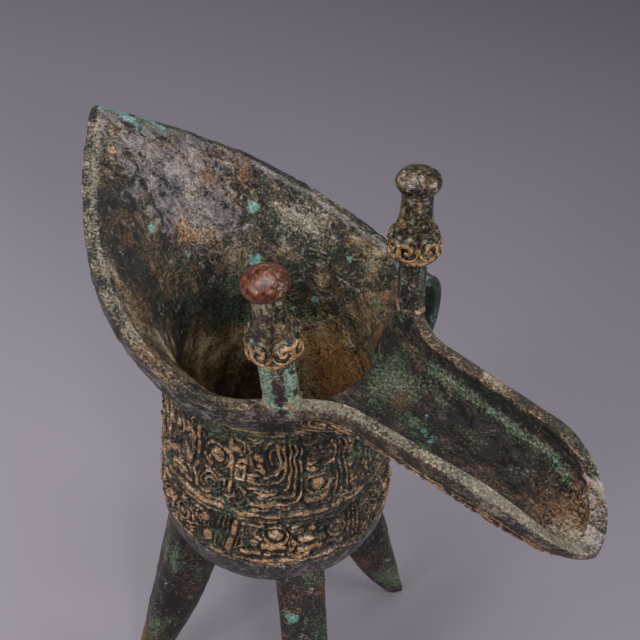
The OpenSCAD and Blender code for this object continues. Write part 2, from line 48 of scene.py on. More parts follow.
# The cup: the vessel's deep round wall and its rounded bottom, each one bronze casting.
# They lap at the belly and are soldered there. The wall is thin behind the carved bands,
# and its inside is darker towards the neck, with ochre runs on the far side.
low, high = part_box("cup_wall")
CUP_AXIS = np.array([(low.x + high.x) / 2, (low.y + high.y) / 2, 0.0])
STAND, BELLY, NECK = 84.0, 89.0, 136.0  # Heights over the floor, in mm as all sizes here
BELLY_R, NECK_R, WALL, BAND_T = 34.6, 31.4, 3.0, 1.2


def mix(a, b, t):
    """From a to b as t goes from 0 to 1."""
    return a + (b - a) * t


def ease(t):
    """3t^2 - 2t^3, held at 0 and 1 outside."""
    t = np.clip(t, 0, 1)
    return t * t * (3 - 2 * t)


def wall_r(z):
    """Outer radius of the carved wall: full at the belly, drawn in to the neck by a 1.2 power."""
    return BELLY_R - (BELLY_R - NECK_R) * np.clip((z - BELLY) / (NECK - BELLY), 0, None) ** 1.2


def swell(p, size, seed):
    """Smooth random swell between -1 and 1: random numbers on a lattice `size` mm wide, eased
    between its eight nearest corners."""
    lattice = np.random.default_rng(seed).uniform(-1, 1, (32, 32, 32))
    q = np.asarray(p) / size + 100.0
    i = np.floor(q).astype(int)
    f = ease(q - i)
    total = 0
    for corner in range(8):
        step = np.array([corner & 1, corner >> 1 & 1, corner >> 2 & 1])
        w = np.prod(np.where(step, f, 1 - f), -1)
        j = (i + step) % 32
        total = total + w * lattice[j[..., 0], j[..., 1], j[..., 2]]
    return total


def bent(a, b, c, t):
    """A quadratic curve from a to c that heads for b: (1-t)^2 a + 2t(1-t) b + t^2 c."""
    return (1 - t) ** 2 * a + 2 * t * (1 - t) * b + t * t * c


def round_off(points, r, n=4):
    """A profile with its inner corners rounded: each becomes a quadratic curve that starts and
    ends r mm away from it, or at 0.45 of a shorter side."""
    p = np.asarray(points, float)
    out = [p[:1]]
    for a, b, c in zip(p[:-2], p[1:-1], p[2:]):
        start, end = (b + (e - b) * min(r, 0.45 * np.linalg.norm(e - b)) / max(np.linalg.norm(e - b), 1e-9)
                      for e in (a, c))
        out.append(bent(start, b, end, np.linspace(0, 1, n + 1)[:, None]))
    return np.concatenate(out + [p[-1:]])


def pace(points, step):
    """The same line with points about every `step` mm, its own points kept."""
    p = np.asarray(points, float)
    out = [p[:1]]
    for a, b in zip(p[:-1], p[1:]):
        n = max(1, math.ceil(np.linalg.norm(b - a) / step))
        out.append(a + (b - a) * (np.arange(1, n + 1) / n)[:, None])
    return np.concatenate(out)


def round_axis(r, a, z):
    """Points r mm from the axis, at angle a and height z."""
    return np.stack(np.broadcast_arrays(r * np.cos(a), r * np.sin(a), z), -1)


def turned(profile, n):
    """A profile of (radius, height) carried once round the axis in n steps."""
    return round_axis(profile[:, 0], np.linspace(0, 2 * np.pi, n + 1)[:, None], profile[:, 1])


def shove(grid, amount):
    """Moves each point of a grid by `amount` mm along the grid's own normal, which is the cross
    product of its two tangents."""
    du, dv = np.gradient(grid, axis=0), np.gradient(grid, axis=1)
    n = np.cross(du, dv)
    n /= np.maximum(np.linalg.norm(n, axis=-1, keepdims=True), 1e-9)
    return grid + n * np.asarray(amount)[..., None]


def bronze_piece(name, grids, marks, material, marked=0):
    """One closed mesh from grids of points in mm from the cup's axis: four-cornered faces between
    neighbours, doubles merged, faces turned outwards. It takes the place of the CAD node of its
    name. Each mark is kept as a number on each point: an array belongs to the grid `marked`, and
    is 0 on the others, and a single number holds everywhere."""
    co, faces, base = [], [], 0
    for g in grids:
        rows, cols = g.shape[:2]
        i = base + np.arange(rows * cols).reshape(rows, cols)
        faces.append(np.stack([i[:-1, :-1], i[1:, :-1], i[1:, 1:], i[:-1, 1:]], -1).reshape(-1, 4))
        co.append(g.reshape(-1, 3))
        base += rows * cols
    co, faces = np.concatenate(co), np.concatenate(faces)
    mesh = bpy.data.meshes.new(name)
    mesh.vertices.add(len(co))
    mesh.vertices.foreach_set("co", (co * 0.001 + CUP_AXIS).astype(np.float32).ravel())
    mesh.loops.add(4 * len(faces))
    mesh.loops.foreach_set("vertex_index", faces.astype(np.int32).ravel())
    mesh.polygons.add(len(faces))
    mesh.polygons.foreach_set("loop_start", np.arange(0, 4 * len(faces), 4, dtype=np.int32))
    mesh.update(calc_edges=True)
    for key, mark in marks.items():
        values = [np.broadcast_to(mark if i == marked or np.isscalar(mark) else 0.0, g.shape[:2]).ravel()
                  for i, g in enumerate(grids)]
        values = np.concatenate(values).astype(np.float32)
        mesh.attributes.new(key, "FLOAT", "POINT").data.foreach_set("value", values)
    bm = bmesh.new()
    bm.from_mesh(mesh)
    bmesh.ops.remove_doubles(bm, verts=bm.verts, dist=2e-6)
    bmesh.ops.recalc_face_normals(bm, faces=bm.faces)
    bm.to_mesh(mesh)
    bm.free()
    mesh.polygons.foreach_set("use_smooth", np.ones(len(mesh.polygons), bool))
    mesh.materials.append(material)
    piece = bpy.data.objects.new(name, mesh)
    bpy.context.scene.collection.objects.link(piece)
    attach(piece, "root")
    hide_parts(name)


def patch(grid, places):
    """Soft round patches: the sum of exp(-(d/r)^2) times its strength over places of
    (x, y, z, r, strength), with d the distance in mm."""
    total = np.zeros(grid.shape[:2])
    for x, y, z, r, strength in places:
        d2 = ((grid - np.array([x, y, z])) ** 2).sum(-1)
        total += strength * np.exp(-d2 / (r * r))
    return total


def linear(hex_colour):
    """An sRGB hex colour as linear red, green, blue, 1."""
    c = [int(hex_colour[i:i + 2], 16) / 255 for i in (1, 3, 5)]
    return tuple(x / 12.92 if x <= 0.04045 else ((x + 0.055) / 1.055) ** 2.4 for x in c) + (1.0,)


def add(tree, kind, inputs, stops=None, **settings):
    """Adds a node to a tree with its settings. Each input is set to a value, or linked to a socket
    or to a node's first output in use. A ramp takes its stops as (place, hex colour)."""
    node = tree.nodes.new("ShaderNode" + kind)
    for key, value in settings.items():
        setattr(node, key, value)
    for key, value in inputs.items():
        if isinstance(value, bpy.types.Node):
            value = next(o for o in value.outputs if o.enabled)
        if isinstance(value, bpy.types.NodeSocket):
            tree.links.new(value, node.inputs[key])
        else:
            node.inputs[key].default_value = value
    if stops:
        bar = node.color_ramp.elements
        while len(bar) < len(stops):
            bar.new(1.0)
        for element, (at, colour) in zip(bar, stops):
            element.position, element.color = at, linear(colour)
    return node


# Rubbed bronze from dark brown to tan; its cream end is a painted highlight on the rubbed tops
TAN = ("#4a321f", "#ab8159", "#f4e3cb")
MALACHITE = ("#0e1610", "#35452f", "#849876")
OCHRE = ("#150c07", "#4b301a", "#9a6c40")


def aged_bronze(name, ground, green=MALACHITE, warm=OCHRE, worn=TAN, blotch=11.0, streak=1.3, grain=0.75,
                greens=0.5, stains=0.5, gloss=0.4, pits=0.6, combed=1.0):
    """Cast tin bronze with a waxed, centuries-old skin, laid in layers from the metal up. A layer
    is as strong as a weighted sum of noises and marks between two limits, up to its top, and a
    second sum picks its colour from a ramp. The marks on a mesh say where each layer gathers, and
    the noises are about 0.5 with sizes in mm. Noises are drawn out `streak` times down the walls,
    and the folds `combed` times along the spout."""
    material = bpy.data.materials.new(name)
    material.use_nodes = True
    tree = material.node_tree
    tree.nodes.clear()
    place = add(tree, "TexCoord", {}).outputs["Object"]
    drawn = add(tree, "Mapping", {"Vector": place, "Scale": (1, 1, 1 / streak)})
    lengthwise = add(tree, "Mapping", {"Vector": place, "Scale": (1 / combed, 1, 1)})
    field = {key: add(tree, "Attribute", {}, attribute_name=key).outputs["Fac"]
             for key in ("warm", "bloom", "pale", "high", "crust", "mauve", "dark")}
    for key, size, detail, rough, bend, where in (
            ("cloud", blotch, 8, 0.62, 0.4, drawn), ("stain", 0.7 * blotch, 8, 0.68, 0.8, drawn),
            ("veil", 0.5 * blotch, 9, 0.72, 0.9, drawn), ("fold", 2.8, 7, 0.66, 0.8, lengthwise),
            ("grain", grain, 6, 0.8, 0.0, place), ("grit", 0.5 * grain, 3, 0.8, 0.0, place),
            ("crumb", 1.7, 7, 0.75, 1.2, place)):
        apart = (0.13 * len(field), 0.07, 0.05 * len(field))
        shifted = add(tree, "VectorMath", {0: where, 1: apart})
        field[key] = add(tree, "TexNoise", {"Vector": shifted, "Scale": 1000 / size, "Detail": detail,
                         "Roughness": rough, "Distortion": bend}).outputs[0]
    less_stain, less_green = 0.12 * stains, 0.12 * greens
    colour = linear(ground[0])
    for key, strength, (low, high, top), tint, stops in (
            # Cuprite ground, clouded over a finger's width and speckled
            ("skin", (1.0, {}), (0, 1, 1.0),
             (-2.58, dict(cloud=1.8, grain=2.3, fold=1.1, grit=0.9, dark=-0.4)),
             zip((0.22, 0.42, 0.58, 0.76, 0.96), ground)),
            # Painted sheen: grey-mauve over the folds as light sliding over old wax, stronger on the mauve
            # marks
            ("sheen", (-0.6, dict(fold=1.4, grain=0.8, mauve=0.24)), (0.60, 0.82, 0.85),
             (-0.15, dict(grain=0.7, fold=0.6)),
             [(0.36, "#2a2425"), (0.51, "#696163"), (0.65, "#aba2a4")]),
            # Ochre stains, then malachite bloom, ragged down to the grain
            ("ochre", (-0.5, dict(stain=1.0, grain=1.0, warm=0.15)),
             (0.64 - less_stain, 0.82 - less_stain, 0.8),
             (-0.1, dict(grain=0.9, fold=0.25, warm=0.03)), zip((0.30, 0.45, 0.64), warm)),
            ("moss", (-0.5, dict(veil=1.0, grain=1.0, bloom=0.17)),
             (0.68 - less_green, 0.84 - less_green, 0.85),
             (-0.1, dict(grain=1.1, bloom=0.04)), zip((0.32, 0.48, 0.66), green)),
            # Dust on lips and bare metal on rubbed tops, both with painted highlights: the bright pale marks
            # and the cream end of the worn ramp
            ("dust_and_highlight", (-0.5, dict(cloud=0.8, grain=1.2, pale=0.3)), (0.62, 0.84, 0.85),
             (-0.32, dict(grain=1.0, fold=0.35, grit=0.3)),
             [(0.34, "#33312a"), (0.5, "#77705f"), (0.68, "#bdb4a2")]),
            ("bare_and_highlight", (-0.78, dict(high=0.66, grain=1.2, stain=0.8)), (0.52, 0.84, 0.95),
             (-0.25, dict(grain=0.8, fold=0.4, cloud=0.35)), zip((0.38, 0.56, 0.72), worn)),
            # Black pits, pale grit and turquoise crusts
            ("pit", (-0.5, dict(fold=1.0, grain=1.0, pale=0.08, high=0.05)), (0.42, 0.28, 0.85),
             (0, dict(grain=1.0)), [(0.4, "#030302"), (0.6, "#0d0b09")]),
            ("speck", (-0.4, dict(grit=1.0, grain=0.8)), (0.66, 0.77, 0.36), (0, dict(stain=1.0)),
             [(0.42, "#64806f"), (0.5, "#9a927e"), (0.58, "#b08a60")]),
            ("scab", (-1.05, dict(crust=0.75, crumb=2.0)), (0.46, 0.58, 1.0), (0, dict(grain=1.0)),
             [(0.36, "#3c5f59"), (0.5, "#6b988e"), (0.64, "#a3c4b9")])):
        sums = []
        for start, terms in (strength, tint):
            for source, weight in terms.items():
                start = add(tree, "Math", {0: field[source], 1: weight, 2: start}, operation="MULTIPLY_ADD")
            sums.append(start)
        shade = add(tree, "ValToRGB", {0: sums[1]}, stops=list(stops))
        if key == "skin":
            colour = shade
            continue
        field[key] = add(tree, "MapRange", {"Value": sums[0], "From Min": low, "From Max": high, "To Max": top},
                         interpolation_type="SMOOTHSTEP").outputs[0]
        colour = add(tree, "Mix", {0: field[key], 6: colour, 7: shade}, data_type="RGBA")
    # The dark marks lay near-black over the colour: dirt and cracks, and in sunk carving also painted shade
    dirt_and_shade = add(tree, "Math", {0: field["dark"], 1: 0.85}, operation="MULTIPLY")
    colour = add(tree, "Mix", {0: dirt_and_shade, 6: colour, 7: linear("#060504")}, data_type="RGBA")
    # Wax keeps the skin glossy, crusts, bloom, dust and dirt in hollows are dull. Grain, folds and
    # crusts stand proud of the pits
    sums = []
    for start, terms in (
            (gloss - 0.28, dict(grain=0.5, cloud=0.3, moss=0.15, dust_and_highlight=0.1, scab=0.2, mauve=-0.08, dark=0.3)),
            (0, dict(grain=0.45, fold=1.7, grit=0.3, veil=0.4, scab=0.4, moss=0.15, pit=-0.25))):
        for source, weight in terms.items():
            start = add(tree, "Math", {0: field[source], 1: weight, 2: start}, operation="MULTIPLY_ADD")
        sums.append(start)
    bump = add(tree, "Bump", {"Strength": pits, "Distance": 0.0011, "Height": sums[1]})
    skin = add(tree, "BsdfPrincipled", {"Base Color": colour, "Roughness": sums[0], "Normal": bump,
               "Metallic": 0.1, "Specular IOR Level": 0.4, "Coat Weight": 0.2, "Coat Roughness": 0.15,
               "Coat Normal": bump})
    add(tree, "OutputMaterial", {"Surface": skin})
    return material


# Cast bronze under wax: dark and speckled, with ochre and green runs down the wall
cup_skin = aged_bronze("Cast bronze, waxed patina with runs",
                       ("#1a150e", "#4c3f2c", "#85704e", "#b89f73", "#e2cfa9"),
                       ("#16221e", "#4a6353", "#a3b894"), ("#1f1209", "#6e4522", "#c48a50"),
                       streak=2.2, greens=0.65, stains=0.6, gloss=0.34)

heights = np.linspace(STAND + 1, NECK - 1, 60)
outside = np.concatenate([
    [[BELLY_R - WALL / 2 + 0.1, STAND], [BELLY_R, STAND], [BELLY_R, STAND + 1]],
    np.stack([wall_r(heights) - BAND_T, heights], -1),
    [[NECK_R, NECK - 1], [NECK_R, NECK], [NECK_R - WALL / 2, NECK], [NECK_R - WALL / 2, NECK + 2.7],
     [NECK_R - WALL + 0.9, NECK + 2.7]]])
down = np.concatenate([[NECK], np.linspace(NECK - 0.05, STAND + 3.1, 110)])
inside = np.concatenate([
    [[NECK_R - WALL + 0.9, NECK + 2.7], [NECK_R - WALL + 0.7, NECK + 1.2]],
    np.stack([wall_r(down) - WALL, down], -1),
    [[BELLY_R - WALL / 2 + 0.1, STAND + 3.1], [BELLY_R - WALL / 2 + 0.1, STAND]]])
cup_out, cup_in = turned(outside, 256), turned(inside, 400)
fade = ease((NECK - 0.5 - cup_in[..., 2]) / 5)
cup_in = shove(cup_in, (0.22 * swell(cup_in * [1, 1, 0.5], 6, 3) + 0.08 * swell(cup_in, 1.6, 4)) * fade)
cup_marks = {
    "warm": patch(cup_in, [
        (-3, 30, 108, 15, 1.2), (1, 31, 98, 12, 1.6), (12, 28, 104, 10, 1.6), (-29, 7, 112, 9, 0.8),
        (-14, 28, 116, 10, 0.6), (4, 29, 122, 9, 0.5)]),
    "bloom": patch(cup_in, [
        (20, 22, 130, 9, 1.4), (26, 13, 120, 10, 2), (29, 5, 124, 9, 1.8), (-28, 4, 134, 9, 1),
        (-24, 14, 128, 9, 0.9), (-8, 28, 124, 8, 0.8)]),
    "crust": patch(cup_in, [
        (-9.4, 26.9, 134.6, 1.9, 1.1), (-15.8, 24.1, 129.4, 1.9, 0.9), (-19, 21, 131, 2.5, 0.5),
        (-27, 8, 131, 6, 0.35), (-28.5, 3, 135, 5, 0.3), (24, 17, 126, 6, 0.3)]),
    # The inside is darker towards the neck
    "dark": 0.4 * ease((cup_in[..., 2] - 120) / 14) + patch(cup_in, [(-28, 4, 132, 9, 0.2)]),
}
bronze_piece("cup_wall", [cup_out, cup_in], cup_marks, cup_skin, marked=1)

BOTTOM_DEPTH, BOTTOM_WALL = 24.0, 4.0
q = np.linspace(0, np.pi / 2, 60)
bowl_out, bowl_in = (np.stack([(BELLY_R - t) * np.sin(q), STAND - (BOTTOM_DEPTH - t) * np.cos(q)], -1)
                     for t in (0, BOTTOM_WALL))
collar = [[BELLY_R - WALL / 2, STAND], [BELLY_R - WALL / 2, STAND + 3], [BELLY_R - WALL, STAND + 3],
          [BELLY_R - WALL, STAND]]
bowl = turned(np.concatenate([bowl_out, collar, bowl_in[::-1]]), 320)
bowl = shove(bowl, 0.15 * swell(bowl, 7, 8) * np.clip(np.hypot(bowl[..., 0], bowl[..., 1]) / 4, 0, 1))
# Cast bronze, smooth where hands have held it: grey-mauve and even, with a soft shine
bottom_skin = aged_bronze("Cast bronze, smooth held patina",
                          ("#1a1716", "#2a2625", "#3b3534", "#4c4645", "#5f5856"),
                          blotch=16, greens=0.15, stains=0.1, gloss=0.42, pits=0.3)
inner_side = np.repeat([0.0, 1.0], [62, 62])[None] + 0 * bowl[..., 0]
bronze_piece("cup_bottom", [bowl], {"mauve": 0.35 * (1 - inner_side), "warm": 1.8 * inner_side,
             "bloom": inner_side * (1 + swell(bowl, 9, 9))}, bottom_skin)

# The carved bands: two rings of cast ornament round the cup, a mask with staring eyes and
# bars among scroll lines, soldered on. Hand rubbing has laid the high places bare, tan to
# orange, with painted highlights on them, and dirt, malachite and painted shade lie in the
# sunk ground.
LOWER, UPPER = (85.0, 18.2), (103.3, 31.7)  # Foot and height of each band
MID_R, REPEATS = 34.0, 3
DEGREE = MID_R * np.pi / 180
SCROLL_PITCH = 1.6
POINTS_ROUND, POINTS_UP, POINTS_BACK = 861, 100, 3


def carve(u, z, lines, eyes, turn):
    """Height of a carving over its sunk ground in mm, at u mm along and z mm up. A bar runs
    straight between its points and is rounded off at its sides, an eye is a ball's cap, and the
    tallest stands at each place. Between them thin scroll lines run round every shape, one each
    1.6 mm out. The whole comes back every `turn` mm."""
    tall, far = np.zeros(u.shape), np.full(u.shape, 1e9)

    def near(u0):
        return (u - u0 + turn / 2) % turn - turn / 2

    for points, width, height in lines:
        p = np.array(points, float)
        middle = p[:, 0].mean()
        x = near(middle) + middle
        d = np.full(u.shape, 1e9)
        for a, b in zip(p[:-1], p[1:]):
            ab = b - a
            t = np.clip(((x - a[0]) * ab[0] + (z - a[1]) * ab[1]) / max(ab @ ab, 1e-9), 0, 1)
            d = np.minimum(d, np.hypot(x - a[0] - t * ab[0], z - a[1] - t * ab[1]))
        tall = np.maximum(tall, height * ease((0.6 * width - d) / (width / 4 + 0.15)))
        far = np.minimum(far, d - width / 2)
    for at, up, radius, height in eyes:
        d = np.hypot(near(at), z - up)
        tall = np.maximum(tall, height * np.sqrt(np.clip(1 - (d / radius) ** 2, 0, 1)))
        far = np.minimum(far, d - radius)
    flat = np.stack([u, z, 0 * u], -1)
    ring = 0.5 - 0.5 * np.cos(2 * np.pi * (far + 1.5 * swell(flat, 3.1, 19) - 0.15) / SCROLL_PITCH)
    ring = ease(ring * 1.5 - 0.3) * ease((far - 0.3) / 0.5) * (0.68 + 0.4 * swell(flat, 2.4, 18))
    return np.maximum(tall, ring)


def arc(deg, at, r_deg, r_z, start, end, n=14):
    """Points on part of an oval round (deg, at), from start to end in degrees."""
    a = np.radians(np.linspace(start, end, n))
    return [(deg + r_deg * np.cos(k), at + r_z * np.sin(k)) for k in a]


def curl(deg, at, r, turns, start, n=26):
    """Points on a spiral that winds in from radius r mm."""
    a = np.radians(start) + np.linspace(0, 2 * np.pi * turns, n)
    k = r * np.linspace(1, 0.18, n)
    return [(deg + ki * np.cos(ai) / 0.593, at + ki * np.sin(ai)) for ki, ai in zip(k, a)]


def bars(*rows):
    """Straight bars, each (degrees, height) to (degrees, height), as (points, width, height)."""
    return [([(a, b), (c, d)], width, height) for a, b, c, d, width, height in rows]


def ovals(*rows):
    """Open or closed ovals as (points, width, height)."""
    return [(arc(*row[:-2]), *row[-2:]) for row in rows]


def curls(*rows):
    """Scrolls that wind in, as (points, width, height)."""
    return [(curl(*row[:-2]), *row[-2:]) for row in rows]


upper_lines = bars(
    (-121, 104.6, 1, 104.6, 1.9, 0.75), (-121, 134.3, 1, 134.3, 1, 0.5), (-57, 113.2, -46, 113.2, 1.3, 0.9),
    (-56, 110, -46, 110, 1.5, 0.9), (-30.5, 121.6, -16.5, 121.6, 1.3, 0.85),
    (-30.5, 119.4, -19, 119.4, 0.8, 0.6), (-31, 109.9, -20.5, 109.9, 2, 1), (-112, 112, -112, 131, 1.5, 0.85),
    (-38, 130.6, -21, 130.6, 0.9, 0.6), (-29, 127.4, -18, 125, 1.2, 0.7), (-29.5, 106.9, -18, 106.9, 0.8, 0.5),
    *((x, 108.5, x, 127.5, 0.9, 0.75) for x in (-15.6, -12.8, -9.6)),
    *((-7.8, z, -3.5, z, 1.2, 0.8) for z in (111, 114.2, 117.4, 120.6, 123.8)),
    *((-81.5, z, -71.5, z, 1, 0.8) for z in (130.6, 132.4)), *((-108, z, -92, z, 1, 0.7) for z in (108, 110.8)))
upper_lines += ovals(
    (-46.5, 126.5, 4.6, 5.6, 200, 560, 22, 0.8, 0.55), (-46.5, 126.5, 2, 3.2, 0, 360, 18, 0.8, 0.55),
    (-25, 115.4, 6.4, 3.6, 20, 340, 22, 1, 0.75), (-76, 124, 7.2, 4.3, 200, 500, 22, 1, 0.75),
    (-104, 126.5, 6.2, 3.7, 0, 360, 20, 1, 0.75))
upper_lines += curls((-79.5, 112.6, 3.9, 1.9, 40, 0.85, 0.75), (-62.5, 109.4, 2.6, 1.5, 200, 0.9, 0.8),
                     (-98.5, 117.5, 3.6, 1.7, 90, 0.9, 0.75))
upper_lines += [([(-69.2, 131), (-68.6, 121), (-69.4, 112)], 1.5, 0.85),
                ([(-66, 122.5), (-61.5, 122.5), (-61.5, 117), (-66, 117)], 1.1, 0.7),
                ([(-87, 131), (-87, 118), (-90, 114), (-87, 109)], 1.5, 0.85),
                ([(-96, 131), (-91, 127), (-91, 121)], 1.2, 0.75),
                ([(-118, 128), (-116, 121), (-118, 114)], 1.3, 0.8)]
for i in range(5):
    x, z, r = -44.5 + 2.75 * i, 119.8 - 2.7 * i, 2.2 + 1.5 * i
    bend = arc(x - r, z + 0.6 * r, r, 0.6 * r, 0, -90, 8)
    upper_lines.append(([(x, 131.5 - 0.5 * i)] + bend + [(-59.5, z)], 1.0, 0.8))

lower_lines = bars(
    (-121, 86.1, 1, 86.1, 1.1, 0.8), (-121, 102.3, 1, 102.3, 1, 0.55), (-53, 92, -41.5, 92, 1.6, 0.95),
    (-52, 88.9, -42, 88.9, 1.2, 0.8), (-62, 100.4, -53.5, 100.4, 1.3, 0.85), (-58, 97.2, -54, 95, 1.5, 0.8),
    (-63, 89.2, -55.5, 89.2, 1.7, 0.85), (-61, 92.4, -56.5, 92.4, 1, 0.6), (-70, 89.5, -66, 100.5, 2, 1),
    (-34, 94.6, -22.5, 94.6, 1.6, 0.9), (-35, 90.6, -24, 90.6, 1.8, 0.9), (-38, 100.4, -31, 100.4, 1.3, 0.8),
    (-24, 99.8, -19.5, 97.6, 1.3, 0.8), (-92, 100, -84, 100, 1.1, 0.7), (-109, 99.8, -102, 99.8, 1.2, 0.75),
    (-109, 90.2, -105, 96, 1.4, 0.8),
    *((-80 + 2.4 * k, 88.4, -76.6 + 2.4 * k, 100.8, 0.7, 0.6) for k in range(4)),
    *((-8.5 + 2.6 * k, 88.6, -8.5 + 2.6 * k, 100.4, 0.8, 0.7) for k in range(3)))
lower_lines += ovals(
    (-46, 96.6, 6, 3.7, 0, 360, 22, 1, 0.8), (-15.5, 94.6, 4.4, 2.9, 0, 360, 20, 0.9, 0.75),
    (-98, 93.6, 5, 3.1, 0, 360, 20, 0.9, 0.75))
lower_lines += curls((-113.5, 93.4, 3.2, 1.6, 0, 0.85, 0.75), (-85, 96.2, 2.4, 1.4, 120, 0.8, 0.7))

# Cast bronze ornament: black-green in its ground, darkened further there as painted shade,
# bare and tan on its rubbed tops, with painted highlights
band_skin = aged_bronze("Cast bronze, rubbed ornament", ("#0a0806", "#2b2219", "#594733", "#8a7354", "#bca685"),
                        blotch=5, grain=0.8, greens=0.7, stains=0.8, gloss=0.14, pits=0.5)


def band(name, foot, tall, lines, eyes):
    """A closed ring: the carved face outside, plain edges and a plain back. The ornament wanders
    a little from its drawing, and its height swells and dips."""
    u = np.linspace(-np.pi, np.pi, POINTS_ROUND)[:, None] + np.zeros(POINTS_UP)
    z = foot + tall * np.linspace(0, 1, POINTS_UP) + 0 * u
    lines = [(np.array(p) * [DEGREE, 1], width, height) for p, width, height in lines]
    eyes = [(deg * DEGREE, up, radius, height) for deg, up, radius, height in eyes]
    at = round_axis(MID_R, u, z)
    to_edge = np.minimum(z - foot, foot + tall - z)
    h = carve(u * MID_R + 0.8 * swell(at, 3.3, 23), z + 0.75 * ease(to_edge / 2.5) * swell(at, 3.0, 24),
              lines, eyes, 2 * np.pi * MID_R / REPEATS)
    h = 1.3 * h * (0.82 + 0.55 * swell(at, 2.3, 21)) + 0.24 * swell(at, 1.1, 22)
    face = round_axis(wall_r(z) - 0.45 + (h - 0.1) * ease(to_edge / 0.5), u, z)
    rear = round_axis(wall_r(z) - BAND_T, u, z)[:, [POINTS_UP - 1, POINTS_UP // 2, 0]]
    top = ease((h - 0.42) / 0.5) * (1.05 + 0.8 * swell(at, 4.5, 25) + 0.8 * swell(at, 11, 27))
    # High tops: rubbed bare tan, partly a painted highlight; low ground: dirt, darkened further as painted
    # shade
    marks = {"high": top, "dark": ease((0.4 - h) / 0.4) * 0.65, "warm": 0.6 * top,
             "bloom": (0.5 + 1.2 * swell(at, 7, 26)) * (1 - 0.5 * top)}
    plain = np.zeros((POINTS_ROUND, POINTS_BACK + 1))
    bronze_piece(name, [np.concatenate([face, rear, face[:, :1]], 1)],
                 {key: np.concatenate([mark, plain], 1) for key, mark in marks.items()},
                 band_skin)


band("lower_band", *LOWER, lower_lines,
     [(-46, 96.9, 2.3, 1.3), (-82, 91, 1.8, 1.1), (-82, 98.4, 1.5, 0.9), (-28, 98.2, 1.4, 0.9),
      (-15.5, 94.6, 1.5, 1.1), (-98, 93.6, 1.8, 1.1), (-14, 89, 1.2, 0.9), (-52, 100.6, 1.0, 0.8)])
band("upper_band", *UPPER, upper_lines,
     [(-25, 115.4, 2.3, 1.3), (-76, 124.2, 2.4, 1.3), (-66, 128, 1.8, 1.1), (-104, 126.5, 2.2, 1.2),
      (-54.5, 126.2, 1.7, 1.0), (-92, 108.5, 1.3, 0.8)])

# The tail and the flared sides of the mouth: one shell cast with its rim, swept up to a blunt
# point at the back. The rim is thickened to a flat lip. It laps over the cup's tongue and is
# soldered there. Inside, old wax with a painted grey-mauve sheen lies over wrinkles left by the
# mould.
LIP_W, LIP_H, LIP_ROUND = 3.6, 5.0, 0.85
TIP_X, WIDE_X, POST_X, ROOT_X, NOSE_X = -72.5, 6.5, 30.0, 46.0, 82.0
WIDE_HALF, ROOT_HALF, NOSE_HALF = 43.4, 19.3, 17.3
LIP_UP, TAIL_UP, SPOUT_UP = 17.8, 51, 19.3  # Rise of the lip over the neck
TONGUE_Z, LAP_R, LAP_Z = 135.9, 30.0, 139.0  # Where the mouth laps over the cup's tongue


def rim_half(x):
    """Half width of the mouth: a blunt oval from the tail's tip to the cup's front, eased into
    the spout's near straight side."""
    u = np.clip((x - TIP_X) / (WIDE_X - TIP_X), 0, 1)
    y = WIDE_HALF * (1 - (1 - u) ** 2.55)
    y = np.sqrt(y * y + 2.6 * y * np.exp(-y / 8))
    side = ROOT_HALF - (ROOT_HALF - NOSE_HALF) * np.clip((x - ROOT_X) / (NOSE_X - ROOT_X), 0, None)
    return np.where(x <= WIDE_X, y, mix(WIDE_HALF, side, ease((x - WIDE_X) / (ROOT_X - WIDE_X))))


def rim_slope(x):
    """Angle at which the rim runs outwards at x, from points 0.2 mm to both sides."""
    return np.arctan2(rim_half(x + 0.2) - rim_half(x - 0.2), 0.4)


def rim_height(x):
    """Height of the lip: it rises by a 1.75 power to the tail and a little to the spout."""
    back = mix(LIP_UP, TAIL_UP, np.clip((20 - x) / (20 - TIP_X), 0, None) ** 1.75)
    return NECK + np.where(x < 20, back, mix(LIP_UP, SPOUT_UP, ease((x - 20) / 20)))


def bow(r0, r1, z1, s):
    """A curve in an upright plane: it leaves the neck upright and ends flared at (r1, z1)."""
    return bent(r0, mix(r0, r1, 0.08), r1, s), bent(NECK, mix(NECK, z1, 0.62), z1, s)


def bow_at(z1, z):
    """Where along that curve it reaches the height z."""
    h = z1 - NECK
    b = 1.24 * h
    return (-b + np.sqrt(b * b + 4 * (h - b) * (z - NECK))) / (2 * (h - b))


def inner_r(x):
    """Distance of the lip's inner edge from the axis, the lip being 3.6 mm wide square to it."""
    slant = np.where(x <= -72.3, 1, np.abs(np.sin(np.arctan2(rim_half(x), x) - rim_slope(x))))
    return np.hypot(x, rim_half(x)) - LIP_W / slant


def corner(before, at, after, r, n=6):
    """A rounded corner of a line: a quadratic curve from r mm before to r mm after it."""
    ends = []
    for p in (before, after):
        d = p - at
        far = np.maximum(np.linalg.norm(d, axis=-1, keepdims=True), 1e-9)
        ends.append((at + d * np.minimum(r / far, 0.45))[..., None, :])
    return bent(ends[0], at[..., None, :], ends[1], np.linspace(0, 1, n)[:, None])


